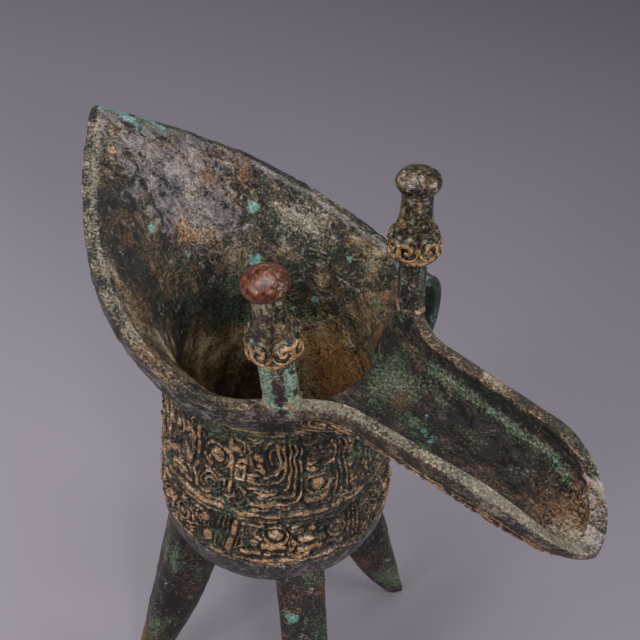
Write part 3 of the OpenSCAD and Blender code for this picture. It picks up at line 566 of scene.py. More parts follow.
def shell(x, a):
    """Closed sections of the mouth at x mm along, each in the upright plane at angle a: up the
    outside, over the lip, down the inside and round the tongue of the cup."""
    r1, z1, ri = np.hypot(x, rim_half(x))[:, None], rim_height(x)[:, None], inner_r(x)[:, None]
    a, s = a[:, None], np.linspace(0, 1, 44)
    deepest = bow_at(rim_height(x), TONGUE_Z)[:, None]
    r, z = bow(NECK_R, r1, z1 - LIP_H, s)
    up = round_axis(r, a, z)
    side = round_axis(r1, a, z1 - mix(LIP_H, 1, np.linspace(0.2, 1, 5)))
    lip = round_axis(mix(r1, ri, np.linspace(0.3, 0.7, 5)), a, z1 + 0 * s[:5])
    r, z = bow(NECK_R - WALL, ri, z1, mix(1, deepest, np.append(np.linspace(0.03, 0.996, 51), 1)))
    down = round_axis(r, a, z)
    outer, inner = round_axis(r1, a, z1)[:, 0], round_axis(ri, a, z1)[:, 0]
    tongue = round_axis(np.array([LAP_R, LAP_R, NECK_R]) + 0 * r1, a, np.array([LAP_Z, NECK, NECK]))
    return np.concatenate([up, side, corner(side[:, -1], outer, lip[:, 0], LIP_ROUND), lip,
                           corner(lip[:, -1], inner, down[:, 0], LIP_ROUND), down, tongue], 1)


def length_along(points):
    """How far along a line each of its points lies."""
    return np.concatenate([[0], np.cumsum(np.linalg.norm(np.diff(points, axis=0), axis=1))])


fine_x = TIP_X + (POST_X - TIP_X) * np.linspace(0, 1, 4000) ** 2
run = length_along(np.stack([fine_x, rim_half(fine_x), rim_height(fine_x)], -1))
tail_x = np.interp(np.linspace(0, run[-1], 170), run, fine_x)
half = shell(tail_x, np.arctan2(rim_half(tail_x), tail_x))
tail_shell = np.concatenate([half[::-1], (half * [1, -1, 1])[1:]])
crinkle = swell(tail_shell * [1, 0.45, 0.8] + [0, 0, 30], 4.2, 31) + 0.35 * swell(tail_shell, 2.1, 34)
soft = 0.26 * swell(tail_shell, 8, 32) + 0.14 * swell(tail_shell, 2.3, 33)
soft = soft + 0.30 * np.exp(-(crinkle / 0.12) ** 2)
# Points of a section: 49 up the outside, 17 over the lip, 52 down the inside, 3 at the tongue
index, row = np.arange(tail_shell.shape[1]), np.arange(len(tail_shell))
rise = ease((index - 3) / 6) * ease((len(index) - 5 - index) / 6)
rise = rise * ease(np.minimum(row, row[::-1]) / 8)[:, None]
tail_shell = shove(tail_shell, -soft * rise)
on_lip = ease((index - 47) / 3) * ease((67 - index) / 3)
inside_mark = ease((index - 65) / 3)
inner_edge = ease((index - 58) / 2) * ease((67 - index) / 2)
near_side = ease((4 - tail_shell[..., 1]) / 14)
tip = np.exp(-((tail_shell[..., 0] + 72) / 9) ** 2)
tip_rim = [(*at, 1.9, 0.9) for at in (
    (-70.6, 1, 186.8), (-70.4, 3.3, 185.9), (-69, 4.9, 185.2), (-67.6, 6.1, 184.5), (-66, 5.6, 184.6),
    (-64.5, 4.9, 184.7), (-63.1, 6.6, 183.9), (-64.2, 10.2, 182.3), (-62.8, 12, 181.4), (-60.2, 12.8, 180.8),
    (-57.4, 12.9, 180.4))]
tail_marks = {
    "warm": patch(tail_shell, [
        (-58.7, -5.6, 181.2, 1.3, 3), (-10, -39.2, 158.6, 4, 1.6), (-5, -39.8, 157.4, 3.5, 1.2),
        (1, -40.6, 155.9, 3, 1), (27, -29, 156.5, 3, 1), (-49.6, -11.3, 174.9, 8, 0.6),
        (-38.9, -19.7, 167.5, 9, 0.6), (-28, -21, 157, 8, 0.5), (-42.3, 20.8, 170.6, 9, 0.9),
        (-36.1, -1.9, 159, 6, 0.8), (-34.9, 4.9, 157.6, 6, 0.6), (-52, 12, 178, 6, 0.5),
        (-20, -33, 160, 6, 0.6), (16, 29, 149, 5, 1), (22, 25, 147, 5, 0.9), (10, 29, 141, 8, 0.8),
        (22, 22, 140, 8, 1), (-3, 35, 153, 8, 0.4)]),
    # Tan and bare: wear on the lip's edges, partly a painted highlight, an orange spot near the tip, and
    # painted highlights in the tail's middle
    "high": 0.35 * inner_edge + 0.3 * ease((index - 48) / 2) * ease((54 - index) / 2) + patch(tail_shell, [
        (-58.7, -5.6, 181.2, 1, 2.2), (-36, -1, 160, 6, 0.6), (-33, 6, 157, 6, 0.6), (-39, 3, 164, 5, 0.4)]),
    # Pale dust on the lip, more on the near side, and on the inner edge as a painted highlight; the patches in
    # the tail's middle brighten the painted sheen, the far side ones are dust
    "pale": on_lip * (0.1 + 0.5 * near_side * ease((6 - tail_shell[..., 0]) / 20)) + 0.3 * inner_edge
    + patch(tail_shell, [
        (-36, -2, 160, 7, 0.5), (-34, 5, 157, 7, 0.6), (-22, 29.5, 158, 6, 0.7), (-14, 32.5, 155.5, 7, 0.7),
        (-41, 7, 166, 8, 0.3)]),
    "bloom": patch(tail_shell, [
        (-62, 11, 182, 6, 0.9), (-54, 16.5, 178.5, 5, 0.6), (-30, 25, 154, 8, 0.6), (-16, 30, 152, 10, 0.7),
        (2, 34, 150, 9, 0.6), (-26, 10, 140, 9, 1), (-28, -6, 141, 8, 0.8), (14, 28, 144, 8, 0.7),
        (-53, -8, 176, 4, 0.4)]) + 0.35 * on_lip * (1 - 0.4 * near_side),
    "crust": patch(tail_shell, [
        (-30.5, 22.4, 160.6, 2.6, 1.1), (-25, 17.3, 146.4, 3.3, 1.1), (-33.6, -1.3, 154.5, 1.6, 1.1),
        (-40.1, -8.6, 165.6, 1.5, 1), (-39.2, -9.6, 164.9, 1.3, 0.9), (-41.5, -7, 167, 1.2, 0.6),
        (-27.7, -11.1, 144.6, 1.6, 0.8), (-60.3, 5.5, 182.2, 1.4, 0.9), (-46.3, 3.9, 171.7, 1.3, 0.9),
        (-1.7, 33.3, 150.2, 1.6, 0.9), (-26, 9, 139, 7, 0.3), (-28, -4, 140, 6, 0.25), (-16, 30, 152, 10, 0.15)]
        + tip_rim) + 0.5 * tip * on_lip * near_side,
    "dark": (1 - inside_mark) * (1 - on_lip) * 0.3 + on_lip * (1 - near_side) * (1 - inner_edge) * 0.35
    + patch(tail_shell, [
        (-28.2, 3.5, 137.6, 8, 0.5), (-28, -9, 139, 8, 0.4), (-62, -9, 180, 5, 0.3), (-50, -12, 175, 9, 0.45),
        (-38, -20, 166, 10, 0.45), (-28, -22, 156, 9, 0.4)]),
    # Grey-mauve: the patches inside the tail are a painted sheen, and the far lip's inner edge a painted
    # highlight line; outside, it is the wax's own colour
    "mauve": patch(tail_shell, [
        (-47.4, 13.8, 173.5, 11, 0.9), (-47.8, 4.1, 173, 12, 1.1), (-40, 7, 166, 10, 1.3),
        (-35, 11, 159, 9, 1.2), (-58, -1, 181, 7, 0.9), (0, 36, 152, 12, 0.3), (-20, 28, 155, 8, 0.5)])
    + 0.7 * (1 - inside_mark) * (1 - on_lip) + 1.8 * inner_edge * (1 - near_side),
}
# Cast bronze under thick old wax: speckled brown and green with a painted grey-mauve sheen
mouth_skin = aged_bronze("Cast bronze, waxed patina with sheen",
                         ("#0b0806", "#2b2218", "#554632", "#806c50", "#b6a484"),
                         greens=0.65, stains=0.55, gloss=0.3, pits=0.75, combed=2.4)
bronze_piece("tail", [tail_shell, tail_shell[:1].repeat(2, 0), tail_shell[-1:].repeat(2, 0)], tail_marks,
             mouth_skin)

# The spout: a long trough from the cup's front to a low rounded nose, cast with its lip and
# soldered to the tail under the posts. Dirt and green crusts lie along the foot of its walls,
# and the outer sides carry scrolls whose tops are rubbed orange.
SEAM = np.arctan2(rim_half(np.array(POST_X)), POST_X)
FLOOR_T, TROUGH_Z, NOSE_Z, NOSE_L = 3.6, 143.8, 139.0, 28.5
OUT_N, IN_N, LIP_N = 171, 111, 15  # Points across the outside, the inside and each lip


def keel_z(x):
    """Height of the spout's underside: it falls by a square law from the neck to the nose."""
    return mix(TROUGH_Z, NOSE_Z, ((x - NECK_R) / (NOSE_X + NOSE_L - NECK_R)) ** 2) - FLOOR_T


def start_curve(k, inner):
    """Where the spout starts, over columns k from -15 to 15: the neck's front arc in the middle
    and the rays of the seams at the sides."""
    x, c = np.array([POST_X]), np.abs(k)
    r1, z1 = np.hypot(x, rim_half(x)), rim_height(x)
    v = np.clip(c - 7, 0, 8)
    if inner:
        r, z = bow(NECK_R - WALL, inner_r(x), z1, mix(bow_at(z1, TROUGH_Z), 1, v / 8))
    else:
        r, z = bow(NECK_R, r1, z1 - LIP_H, np.minimum(v, 7) / 7)
        z = z + LIP_H * np.clip(v - 7, 0, 1)
    a = np.where(c <= 7, SEAM * k / 7, SEAM * np.sign(k))
    return round_axis(r, a, z)


def skin(k, t, a, inner):
    """A skin of the spout: columns k across by rows t out to the nose (0 to 1) and then a round
    it (radians). Each row is a rounded U, (w sin^q, -d cos^q), and over the first 20 mm it
    changes from the shape of the start to that U."""
    inset, lift, square = (LIP_W, FLOOR_T, 0.7) if inner else (0.0, 0.0, 0.85)
    start = start_curve(k, inner)[None]
    across = np.radians(90 * np.abs(k) / 15)
    wide, deep = np.sign(k) * np.sin(across) ** square, np.cos(across) ** square
    x = mix(start[..., 0], NOSE_X, t[:, None])
    z = rim_height(x)
    w = rim_half(x) - inset / np.maximum(0.5, np.cos(rim_slope(x)))
    m = ease((x - start[..., 0]) / 20)
    y = mix(start[..., 1] * rim_half(x) / rim_half(start[..., 0]), wide * w, m)
    up = mix(start[..., 2] + z - rim_height(start[..., 0]), z - deep * (z - keel_z(x) - lift), m)
    side = np.stack([x, y, up], -1)
    a = a[:, None] + 0 * k[None]
    x = NOSE_X + (NOSE_L - inset * (1 + 0.44 * np.sin(a) ** 2)) * np.sin(a)
    w = (NOSE_HALF - inset) * np.cos(a)
    z = NECK + mix(SPOUT_UP, 4, np.sin(a) ** 2.2)
    full = z - keel_z(x) - lift
    d = np.maximum(0.8, full) if inner else mix(full, 2.6, (1 - np.cos(a)) ** 2)
    return np.concatenate([side, np.stack([x, wide * w, z - deep * d], -1)])


rows_t = np.linspace(0, 1, 190)
rows_a = np.radians(90) * (1 - (1 - np.linspace(0, 1, 111)[1:]) ** 1.25)
k_out, k_in = np.linspace(-14.5, 14.5, OUT_N), np.linspace(14.5, -14.5, IN_N)
out_skin, in_skin = skin(k_out, rows_t, rows_a, False), skin(k_in, rows_t, rows_a, True)
ends = np.array([-15.0, 15.0])
out_end, in_end = skin(ends, rows_t, rows_a, False), skin(ends, rows_t, rows_a, True)
steps = np.array([0.3, 0.5, 0.7])[:, None]
lip_r = mix(out_end[:, 1, None], in_end[:, 1, None], steps)
lip_l = mix(in_end[:, 0, None], out_end[:, 0, None], steps)
along = length_along(out_end[:, 1])[:, None]
deep = out_end[:, 1, None, 2] - out_skin[..., 2]
side_lines = [([(0.5, 8), (5.5, 8), (5.5, 12.5), (2, 12.5), (2, 10.2)], 1.1, 1.0),
              ([(8, 7.6), (8, 12.8), (12.5, 12.8), (12.5, 9.2), (10, 9.2)], 1.1, 1.0),
              ([(0.5, 15.5), (12.5, 15.5)], 1.0, 0.8), ([(-2, 6.4), (13, 6.4)], 1.0, 0.7)]
cut = carve(along + 0 * deep, deep, side_lines, [(3.8, 10.4, 0.9, 0.9), (10.8, 11.0, 0.9, 0.9)], 14.0)
open_run = ease((along - 1) / 4) * ease((along[-1] - 6 - along) / 8)
cut = cut * (0.8 + 0.3 * swell(out_skin, 3, 41)) * ease((deep - 5.6) / 0.8) * ease((20 - deep) / 2) * open_run
out_skin = shove(out_skin, -(cut - 0.45 * ease((deep - 5.2) / 0.8) * open_run) * 0.9)
in_soft = 0.22 * swell(in_skin, 6, 42) + 0.12 * swell(in_skin, 2, 43)
crease = np.exp(-((np.abs(k_in[None]) - 10.9 + 0.4 * swell(in_skin, 14, 44)) / 0.35) ** 2)
in_skin = shove(in_skin, -(in_soft + 0.45 * crease) * ease(np.arange(len(in_skin))[:, None] / 4))
spout_skin = np.concatenate([
    out_skin, corner(out_skin[:, -1], out_end[:, 1], in_end[:, 1], LIP_ROUND), lip_r,
    corner(out_end[:, 1], in_end[:, 1], in_skin[:, 0], LIP_ROUND), in_skin,
    corner(in_skin[:, -1], in_end[:, 0], out_end[:, 0], LIP_ROUND), lip_l,
    corner(in_end[:, 0], out_end[:, 0], out_skin[:, 0], LIP_ROUND), out_skin[:, :1]], 1)
lip, in_trough, edge_wear_and_highlight = np.zeros((3, spout_skin.shape[1]))
lip[np.r_[OUT_N:OUT_N + LIP_N, -LIP_N - 1:-1]] = 1
in_at = slice(OUT_N + LIP_N, OUT_N + LIP_N + IN_N)
in_trough[in_at] = 1
# The two edges of each lip: worn, and partly a painted highlight
edge_wear_and_highlight[np.r_[172:175, 182:185, 299:302, 308:311]] = 1
wear, sunk, wall_foot = np.zeros((3,) + spout_skin.shape[:2])
# Tops of the outer relief rubbed bare; its sunk ground darkened, dirt and partly painted shade
wear[:, :OUT_N] = ease((cut - 0.25) / 0.35)
sunk[:, :OUT_N] = 0.55 * ease((0.3 - cut) / 0.3) * ease((deep - 5.6) / 0.8)
wall_foot[:, in_at] = np.exp(-(np.abs(k_in) - 10.4) ** 2)
nose = ease((spout_skin[..., 0] - 84) / 22)
# A thin green line runs along the foot of the far wall
strip_x = np.arange(44, 95, 1.8)
strip_y, strip_z = (np.interp(strip_x, (44, 49.7, 61.6, 73.5, 82.2, 88.3, 93.6), v) for v in (
    (15.2, 14.8, 14, 13, 12.8, 12.1, 10.7), (150.4, 149.8, 149, 147.8, 148.1, 146.7, 145)))
strip = [(*at, 1.8, 0.34) for at in zip(strip_x, strip_y, strip_z)]
spout_marks = {
    "warm": patch(spout_skin, [
        (43.1, 3.5, 144, 4.5, 2.4), (37.5, 6.8, 144.3, 4, 2), (100, 1, 140.5, 9, 1), (90, -1, 141, 9, 0.7),
        (78, -6, 143, 8, 0.6), (64, -8, 144, 8, 0.4), (35, 18, 150, 5, 0.8), (95, 8, 145, 5, 0.8)]) + 0.3 * lip,
    # Pale lip dust, painted brighter on the near side as light falling there; the two patches on the near lip
    # are painted highlights, and the strip along the far wall is crust
    "pale": lip * (0.25 + 0.55 * ease(-spout_skin[..., 1] / 4)) + patch(spout_skin, [
        (86, -14, 155, 6, 0.7), (93, -13, 152.5, 6, 0.8), (100, -9, 147, 6, 0.5), (106, 0, 141, 9, 0.45),
        (100, 11, 148, 7, 0.4), (38, 6, 144.3, 6, 0.7)] + strip),
    "high": 1.7 * wear * (0.8 + 0.7 * swell(spout_skin, 4, 45)) + 0.5 * edge_wear_and_highlight,
    "bloom": 0.35 * wall_foot + 0.3 * lip + patch(spout_skin, [
        (31.6, 12, 144.6, 6, 1.5), (45, 8, 144.4, 5, 0.9), (51, 0, 143.5, 4, 1.8), (40, -1, 143.6, 4, 0.7),
        (38, 8, 144.3, 5, 1.8), (35, 3, 144, 5, 1.4), (58, -7, 144, 4, 1.5)]
        + [(x, y - 0.6, z - 0.6, 2.4, 0.6) for x, y, z in zip(strip_x, strip_y, strip_z)]),
    "crust": patch(spout_skin, [
        (54.8, -0.1, 143.4, 2.6, 0.9), (59.1, -2, 143.2, 2.4, 0.8), (52, 4, 143.6, 2, 0.7),
        (82, 9, 145, 1.6, 0.9), (85, 8.6, 144.6, 1.3, 0.9), (93, 4.5, 142, 1.4, 0.9),
        (33, 11, 144.3, 3, 0.5)] + strip),
    # Grey-mauve on the nose's lip, partly a painted sheen
    "mauve": 0.9 * nose * lip,
    "dark": sunk + 0.55 * in_trough * (1 - nose) * (1 - wall_foot),
}
# The root is closed by a ring inside the neck that runs up the middle of the seams
k_ring = np.concatenate([k_out, np.full(LIP_N, 15.0), k_in, np.full(LIP_N, -15.0), [-14.5]])
sill = round_axis(28.39, SEAM * np.clip(k_ring / 7, -1, 1), TONGUE_Z)
flat = np.abs(k_ring) > 7
sill[flat] = ((start_curve(k_ring, False) + start_curve(k_ring, True)) / 2)[flat]
bronze_piece("spout", [spout_skin, np.stack([spout_skin[0], sill])], spout_marks, mouth_skin)

# The posts: two short bars with chamfered corners, let into the lip over the seams of tail and
# spout and leaning inwards. A round tenon on top of each carries its cap.
FOOT = round_axis(np.hypot(POST_X, rim_half(np.array(POST_X))) - 3.5, SEAM, 151.05)
KNOB = np.array([24.6, 29.1, 193.8])
POST_W, POST_D, CHAMFER, TENON_R = 9.5, 7.0, 2.0, 2.5
CAP_H = 23.2  # Of the knob's middle over the post
lean = KNOB - FOOT
POST_LEN = np.linalg.norm(lean) - CAP_H
lean_a = math.atan2(lean[1], lean[0])
lean_b = math.atan2(math.hypot(lean[0], lean[1]), lean[2])
twist = float(rim_slope(np.array(POST_X))) - lean_a


def spin(axis, a):
    """Turning matrix about axis 0, 1 or 2 by a radians."""
    m, c, s = np.eye(3), math.cos(a), math.sin(a)
    i, j = (axis + 1) % 3, (axis + 2) % 3
    m[i, i], m[j, j], m[i, j], m[j, i] = c, c, -s, s
    return m


POST_TURN = spin(2, lean_a) @ spin(1, lean_b) @ spin(2, twist)


def on_post(points, side):
    """Points given along a post's own axis, put on the far (1) or the near (-1) side."""
    return (points @ POST_TURN.T + FOOT) * [1, side, 1]


def octagon(a, b, c, n=96):
    """An eight-cornered outline 2a by 2b with corners cut by c, its edges a little rounded."""
    p = [(-a, c - b), (c - a, -b), (a - c, -b), (a, c - b), (a, b - c), (a - c, b), (c - a, b), (-a, b - c)]
    p = round_off([p[-1]] + p + [p[0]], 0.35, 3)[1:-1]
    p = np.concatenate([p, p[:1]])
    far = length_along(p)
    s = np.linspace(0, far[-1], n)
    return np.stack([np.interp(s, far, p[:, 0]), np.interp(s, far, p[:, 1])], -1)


def post_rows():
    """Rings of the post from its foot up: octagons with a low solder fillet at the lip, a worn
    shoulder, then the round tenon."""
    full = octagon(POST_W / 2, POST_D / 2, CHAMFER)
    ang = np.linspace(0, 2 * np.pi, 96) + math.atan2(full[0, 1], full[0, 0])
    circle = np.stack([TENON_R * np.cos(ang), TENON_R * np.sin(ang)], -1)
    shaft = [(full * (1 + 0.10 * math.exp(-((h - 3.6) / 0.9) ** 2)), h)
             for h in np.linspace(0, POST_LEN - 0.4, 70)]
    rings, heights = zip((full * 0.01, 0.0), *shaft, (full * 0.97, POST_LEN), (circle, POST_LEN),
                         (circle, POST_LEN + 5.7), (circle * 0.9, POST_LEN + 6), (circle * 0.01, POST_LEN + 6))
    rings = np.array(rings)
    return np.concatenate([rings, (np.array(heights)[:, None] + 0 * rings[..., 0])[..., None]], -1)


# Cast bronze: brown-black faces between chamfers pale with malachite
post_skin = aged_bronze("Cast bronze, pale green chamfers",
                        ("#060504", "#1c1612", "#42372c", "#75654f", "#b3a184"),
                        ("#26362b", "#64806c", "#b4c8b2"),
                        blotch=6, grain=0.8, greens=0.45, stains=0.45, gloss=0.36, pits=0.7)
for name, side, green in (("near_post", -1, 2.4), ("far_post", 1, 1.0)):
    ring = post_rows()
    ring = shove(ring, 0.12 * swell(ring + [side * 9, 0, 0], 2.6, 51) * (ring[..., 2] < POST_LEN - 0.5))
    worn = np.exp(-((ring[..., 2] - 4.2) / 1.6) ** 2) * (0.5 + 0.6 * swell(ring, 2.2, 52))
    edges = ease((np.hypot(ring[..., 0] * 2 / POST_W, ring[..., 1] * 2 / POST_D) - 1.0) / 0.12)
    bronze_piece(name, [on_post(ring, side)], {"high": 1.3 * worn, "bloom": green * edges},
                 post_skin)

# The caps: each a flattened knob on a waisted neck, over a collar with a pair of scrolls on
# each of its four faces, cast as one and set on the post's tenon. The knobs are worn smooth and
# crossed by fine casting cracks, the near one red-brown and the far one olive.


def cap_grid(side):
    """A turned cap: profile of (radius, height) round the axis, then pushed out where the
    scrolls are. A scroll is a disc with a raised line winding in by 2.5 mm a turn."""
    t = np.linspace(0, 1, 60)
    knob_a = np.radians(-60 + 150 * np.linspace(0, 1, 90))
    profile = np.concatenate([
        pace([[0, 6.1], [2.6, 6.1], [2.6, 0], [5.6, 0]], 1.0),
        pace(round_off([[5.6, 0], [6.0, 0.1], [7.0, 1.2], [6.5, 2.4], [5.9, 4.8], [5.8, 8]], 0.5), 0.16)[1:],
        np.stack([mix(5.8, 4.3, 1 - (1 - t) ** 2), mix(8, 18.65, t)], -1)[1:],
        pace([[4.3, 18.65], [3.6, 19.4]], 0.4)[1:],
        np.stack([6.3 * np.cos(knob_a), CAP_H + 4.1 * np.sin(knob_a)], -1)[1:]])
    grid = turned(profile, 420)
    a = np.linspace(0, 2 * np.pi, 421)[:, None] + 0 * profile[:, 0]
    z, r = grid[..., 2], np.hypot(grid[..., 0], grid[..., 1])
    out, line_up = np.zeros(a.shape), np.zeros(a.shape)
    open_side = ease((r - 5.0) / 0.4) * ease((9.7 - z) / 0.5)
    for face in range(4):
        for s in (-1, 1):
            centre = math.pi / 2 * face + s * math.radians(27)
            arc_x = ((a - centre + math.pi) % (2 * math.pi) - math.pi) * 6.9
            rho, phi = np.hypot(arc_x, z - 5.2), np.arctan2(z - 5.2, arc_x * s)
            disc = ease((3.4 - rho) / 0.35)
            wind = 0.5 + 0.5 * np.cos(2 * np.pi * (rho / 2.5 + phi / (2 * np.pi)) + 0.5)
            lift = disc * (7.2 - r + 0.9 * (ease(wind * 1.7 - 0.3) - 0.62))
            out, line_up = np.maximum(out, lift), np.maximum(line_up, disc * ease(wind * 2 - 0.6))
        mid = ((a - math.pi / 2 * face + math.pi) % (2 * math.pi) - math.pi) * 6.9
        u_line = np.abs(np.hypot(mid * 0.75, (z - 4.4) * 1.1) - 3.1)
        u_bead = ease((0.7 - u_line) / 0.4) * ease((2.6 - z) / 0.6)
        out, line_up = np.maximum(out, u_bead * 0.6), np.maximum(line_up, u_bead)
    scale = 1 + out * open_side / np.maximum(r, 1)
    grid = grid * np.stack([scale, scale, np.ones_like(scale)], -1)
    knob = ease((z - 19.8) / 0.8)
    crack = np.abs(swell(grid + [0, side * 40, 0], 4.2, 61) + 0.35 * swell(grid, 1.4, 62))
    crack = np.exp(-(crack / 0.05) ** 2) * knob
    close = np.clip(r / 1.5, 0, 1)
    grid = shove(grid, (0.14 * swell(grid + [0, side * 40, 0], 3.2, 63) - 0.22 * crack) * close * (z > 0.3))
    return grid, {"warm": (2.6 if side < 0 else 0.3) * knob, "high": 1.1 * line_up * open_side,
                  "bloom": 0.4 * (1 - knob) * (1 - line_up * open_side), "dark": 0.6 * crack}


# Cast bronze polished by fingers: red-brown and glossy on the near knob, olive on the far one
cap_ground, gold = ("#15100a", "#30261a", "#4c3e29", "#67563b", "#8f7c5a"), ("#452b17", "#a0744a", "#e8caa0")
for name, side, finish, green, warm, greens, stains, gloss in (
        ("near_cap", -1, "Cast bronze, red-brown polished", ("#18201a", "#4a5a42", "#93a284"),
         ("#0c0403", "#34120a", "#6a2e14"), 0.5, 0.6, 0.1),
        ("far_cap", 1, "Cast bronze, olive polished", ("#141c16", "#42543e", "#8a9c80"),
         ("#1c0b06", "#56301c", "#a67c58"), 0.6, 0.3, 0.08)):
    cap_skin = aged_bronze(finish, cap_ground, green, warm, gold, blotch=5, grain=1.4, greens=greens,
                           stains=stains, gloss=gloss, pits=0.12)
    grid, marks = cap_grid(side)
    bronze_piece(name, [on_post(grid + [0, 0, POST_LEN], side)], marks, cap_skin)

# The handle: a strap bowed out from the upper to the lower band on the far side, its edges
# raised, with a block at each root let into the bands and a peg into the wall.
HANDLE_A, STRAP_W, STRAP_T, REACH = math.radians(80), 10.0, 4.0, 59.5
TOP_ROOT, FOOT_ROOT = 124.3, 96.0
strap_line = np.array([
    [wall_r(TOP_ROOT) - 1.2, TOP_ROOT], [39.4, TOP_ROOT + 8], [REACH - 13, TOP_ROOT + 16.5],
    [REACH - 4.2, TOP_ROOT + 14], [REACH - 2, TOP_ROOT + 5], [REACH - 5.5, TOP_ROOT - 9],
    [REACH - 16, FOOT_ROOT + 6], [37.6, FOOT_ROOT + 0.5], [wall_r(FOOT_ROOT) - 1.2, FOOT_ROOT]])


def through(p, n):
    """A smooth (Catmull-Rom) line through the points p, n steps between neighbours."""
    q = np.concatenate([p[:1], p, p[-1:]])
    a, b, c, d = (q[i:len(q) - 3 + i, None] for i in range(4))
    t = (np.arange(n) / n)[None, :, None]
    out = 0.5 * (2 * b + (c - a) * t + (2 * a - 5 * b + 4 * c - d) * t * t + (3 * b - a - 3 * c + d) * t ** 3)
    return np.concatenate([out.reshape(-1, p.shape[1]), p[-1:]])


def swept(path, section):
    """A closed section (across, off) carried along a line in the handle's upright plane."""
    d = np.gradient(path, axis=0)
    d /= np.linalg.norm(d, axis=1, keepdims=True)
    r = path[:, None, 0] - section[None, :, 1] * d[:, None, 1]
    z = path[:, None, 1] + section[None, :, 1] * d[:, None, 0]
    return np.stack([r, section[None, :, 0] + 0 * r, z], -1)


def pillow(centre, half, e=0.3, n=40):
    """A rounded block: sphere angles with each sine and cosine raised to the power e."""
    a, b = np.meshgrid(np.linspace(-np.pi, np.pi, 2 * n + 1), np.linspace(-np.pi / 2, np.pi / 2, n + 1),
                       indexing="ij")

    def power(v):
        v = np.where(np.abs(v) < 1e-9, 0, v)
        return np.sign(v) * np.abs(v) ** e

    flat = power(np.cos(b))
    return np.stack([flat * power(np.cos(a)), flat * power(np.sin(a)), power(np.sin(b))], -1) * half + centre


def at_handle(grid):
    """From the handle's own plane to its place round the cup."""
    return grid @ spin(2, HANDLE_A).T


# Cast bronze left unhandled inside its loop: blue-green over nearly black
handle_skin = aged_bronze("Cast bronze, blue-green", ("#0c100f", "#1c2624", "#2f3f3b", "#4b5f58", "#778a80"),
                          ("#1b2c2b", "#3d5f5a", "#7ba398"), blotch=7, grain=0.9, greens=0.7, stains=0.2,
                          gloss=0.38, pits=0.6)
section = octagon(STRAP_W / 2, STRAP_T / 2, 0.8, 120)
section[:, 1] -= np.where(section[:, 1] > 0.5, 0.45 * ease((4.1 - np.abs(section[:, 0])) / 0.8), 0)
path = through(strap_line, 30)
strap = swept(path, section)
strap = shove(strap, 0.12 * swell(strap, 3, 71))
end_caps = [strap[:1].repeat(2, 0), strap[-1:].repeat(2, 0)]
for g, p in zip(end_caps, (path[0], path[-1])):
    g[1] = [p[0], 0, p[1]]
roots = [pillow([float(wall_r(z)) + 1.05, 0, z], [2.25, STRAP_W / 2, STRAP_T], 0.25)
         for z in (TOP_ROOT, FOOT_ROOT)]
pegs = [pillow([float(wall_r(z)) - 0.9, 0, z], [1.5, 1.8, 1.8], 0.8, 16) for z in (TOP_ROOT, FOOT_ROOT)]
bronze_piece("handle", [at_handle(g) for g in [strap] + end_caps + roots + pegs], {},
             handle_skin)

# The small animal head soldered on the strap's upper bend: a plate with a snout, two round
# eyes and two horns, cast in one.
seat = through(strap_line[:4], 2)[3]
climb = math.atan2(strap_line[2, 1] - strap_line[1, 1], strap_line[2, 0] - strap_line[1, 0])
MASK_L, MASK_W, MASK_T, HORN_R = 9.0, 8.0, 2.4, 1.2
parts = [pillow([0, 0, MASK_T / 2], [MASK_L / 2, MASK_W / 2, MASK_T / 2], 0.35),
         pillow([MASK_L / 2 - 0.5, 0, 1.6], [2.5, 1.6, 1.6], 0.7)]
for s in (-1, 1):
    parts.append(pillow([0, MASK_W / 3 * s, MASK_T], [HORN_R, HORN_R, HORN_R], 1.0, 24))
    horn = pillow([0, 0, 2.0], [HORN_R, HORN_R, 2.0], 0.75, 24)
    horn = horn @ spin(1, math.radians(-20)).T
    parts.append(horn + [HORN_R - MASK_L / 2, (MASK_W / 2 - HORN_R) * s, MASK_T / 2])
parts = [(g + [0, 0, STRAP_T / 2 + 0.35]) @ spin(1, -climb).T + [seat[0], 0, seat[1]] for g in parts]
bronze_piece("handle_mask", [at_handle(g) for g in parts], {"high": 0.3}, handle_skin)

# The legs: three solid blades, flat outside and ridged inside, bowed out to blunt feet. Each is
# pinned and soldered under the rounded bottom.
LEG_H, LEG_ROUND, LEG_ROWS = 83.5, 65, 200
# Cast bronze: dark red-brown, green along the edges, with ochre earth left on it
leg_skin = aged_bronze("Cast bronze, dark brown with earth",
                       ("#050403", "#120b08", "#221712", "#3a2b22", "#5a4a3c"),
                       blotch=14, streak=1.6, greens=0.55, stains=0.6, gloss=0.36, pits=0.7)


def leg_section(t, foot):
    """The eight corners of a leg at a share t of its way down, as (distance from the axis,
    sideways)."""
    r = 31.4 + (foot - 32.8) * t + 1.4 * t * t
    k = 1 - t ** 3
    d, h = 5.8 + 13.9 * k, (4.8 + 10.2 * k) / 2  # 19.7 deep and 15 wide at the top, 5.8 and 4.8 at the foot
    deep = np.array([0, 0.15, 0.65, 0.95, 0.95, 0.65, 0.15, 0])
    wide = np.array([0.5, 1, 0.8, 0.25, -0.25, -0.8, -1, -0.5])
    return np.stack([r[..., None] - deep * d[..., None], wide * h[..., None]], -1)


def leg_ring(t, foot, f=0.24, n=5):
    """A ring round the leg for each t: its corners rounded by quadratic curves."""
    c = leg_section(t, foot)
    s = np.linspace(0, 1, n)[:, None]
    before, after = np.roll(c, 1, 1), np.roll(c, -1, 1)
    p, q = mix(c, before, f)[:, :, None], mix(c, after, f)[:, :, None]
    straight = mix(q, np.roll(p, -1, 1), np.array([0.25, 0.5, 0.75])[:, None])
    ring = np.concatenate([bent(p, c[:, :, None], q, s), straight], 2).reshape(len(t), -1, 2)
    return np.concatenate([ring, ring[:, :1]], 1)


